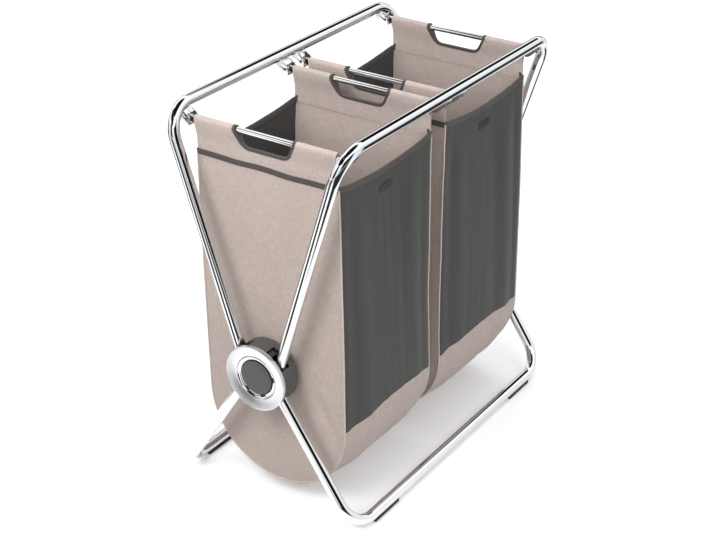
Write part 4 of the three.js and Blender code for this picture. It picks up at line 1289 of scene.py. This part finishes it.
# Floor, lights and surroundings
studio = {
    "floor": {"colour": (0.90, 0.905, 0.915), "roughness": 0.9, "size": 24},
    "bounce": (0.32, 0.314, 0.308),
    "glow": 0.15,  # the floor is a lit table
    "sky": (0.42, 0.95),  # at the horizon and overhead, for soft light
    "backdrop": (0.96, 0.965, 0.975),
    "room": (0.95, 1.25),  # low and high, in bright metal
    "cardReach": (0.70, 0.80),  # dark cards on the floor start here, and show only in bright metal
    "floorCards": ((-160, -82), (-52, -20), (8, 64), (84, 118), (149, 178)),  # degrees from +X
    "wallCards": (  # the same, with the heights each one stands between
        (-14, 38, 0.47, 0.72), (100, 184, 0.62, 0.88), (-184, -150, 0.62, 0.88), (154, 184, 0, 0.62),
        (-184, -174, 0, 0.62), (-136, -80, 0, 0.56), (8, 64, 0, 0.16), (84, 118, 0, 0.12),
        (-184, 184, 0.86, 1.1)),
    "cardEdge": 4,
    "cardSoft": 0.02,
    "floorBlack": (0.006, 0.006, 0.006),
    "wallBlack": (0.008, 0.008, 0.008),
    "lights": {
        "key": {"place": (-1.55, 0.1, 1.7), "size": 1.0, "power": 25, "aim": (-0.25, 0, 0.5)},
        "fill": {"place": (-0.75, -2.4, 1.35), "size": 1.5, "power": 24, "aim": (0, 0, 0.25)},
        "top": {"place": (0.1, 0.3, 2.7), "size": 1.4, "power": 8, "aim": (0, 0, 0.4)},
        "back": {"place": (1.7, 1.7, 1.8), "size": 1.5, "power": 18, "aim": (0, 0, 0.35)},
    },
}


def between(tree, value, low, high, soft):
    return maths(tree, "MULTIPLY", mapped(tree, value, low - soft, low + soft),
                 mapped(tree, value, high - soft, high + soft, 1.0, 0.0))


def cardMask(tree, parts, cards):
    degrees = maths(tree, "MULTIPLY", maths(tree, "ARCTAN2", parts[1], parts[0]), 180 / math.pi)
    mask = 0.0
    for first, last, *heights in cards:
        card = between(tree, degrees, first, last, studio["cardEdge"])
        if heights:
            card = maths(tree, "MULTIPLY", card, between(tree, parts[2], *heights, studio["cardSoft"]))
        mask = maths(tree, "MAXIMUM", mask, card)
    return mask


floor = started(bpy.ops.mesh.primitive_plane_add, "studio_floor", size=studio["floor"]["size"])
floorMaterial, floorTree, floorShader = newMaterial("floorPaper", studio["floor"])
floorPlace = placeOf(floorTree)
floorGrain = useGroup(floorTree, groups["fineGrain"], Vector=floorPlace, Scale=300.0)
raised(floorTree, floorShader, floorGrain["Height"], distance=0.0001, strength=0.1)
floorShader["Emission Strength"].default_value = studio["glow"]
floorRays = addNode(floorTree, "ShaderNodeLightPath").outputs
floorCards = cardMask(floorTree, separated(floorTree, floorPlace), studio["floorCards"])
farEnough = mapped(floorTree, lengthOf(floorTree, floorPlace), *studio["cardReach"])
dark = maths(floorTree, "MULTIPLY", floorCards, farEnough)
dark = maths(floorTree, "MULTIPLY", dark, floorRays["Is Glossy Ray"])
paper = mixedColour(floorTree, floorRays["Is Diffuse Ray"], (*studio["floor"]["colour"], 1),
                    (*studio["bounce"], 1))
feed(floorTree, floorShader["Base Color"], mixedColour(floorTree, dark, paper, (*studio["floorBlack"], 1)))
feed(floorTree, floorShader["Emission Color"], mixedColour(
    floorTree, floorRays["Is Glossy Ray"], (1, 1, 1, 1), (0, 0, 0, 1)))
floor.data.materials.append(floorMaterial)

for name, facts in studio["lights"].items():
    light = started(bpy.ops.object.light_add, name + "Light", type="AREA", location=facts["place"])
    light.data.size, light.data.energy = facts["size"], facts["power"]
    light.visible_glossy = False  # bright metal shows the cards and the room instead
    light.rotation_euler = (Vector(facts["aim"]) - Vector(facts["place"])).to_track_quat("-Z", "Y").to_euler()

world = bpy.context.scene.world or bpy.data.worlds.new("studio")
bpy.context.scene.world = world
world.use_nodes = True
skyTree = world.node_tree
skyParts = separated(skyTree, addNode(skyTree, "ShaderNodeTexCoord").outputs["Generated"])
soft = mapped(skyTree, skyParts[2], 0.0, 0.9, *studio["sky"])
room = mapped(skyTree, skyParts[2], 0.3, 0.6, *studio["room"])
skyCards = cardMask(skyTree, skyParts, studio["wallCards"])
mirrored = mixedColour(skyTree, skyCards, room, (*studio["wallBlack"], 1))
rays = addNode(skyTree, "ShaderNodeLightPath").outputs
pale = mixedColour(skyTree, rays["Is Camera Ray"], soft, (*studio["backdrop"], 1))
background = skyTree.nodes["Background"].inputs
feed(skyTree, background["Color"], mixedColour(skyTree, rays["Is Glossy Ray"], pale, mirrored))
background["Strength"].default_value = 1.0
bpy.context.scene.view_settings.view_transform = "Standard"
print("studio set")
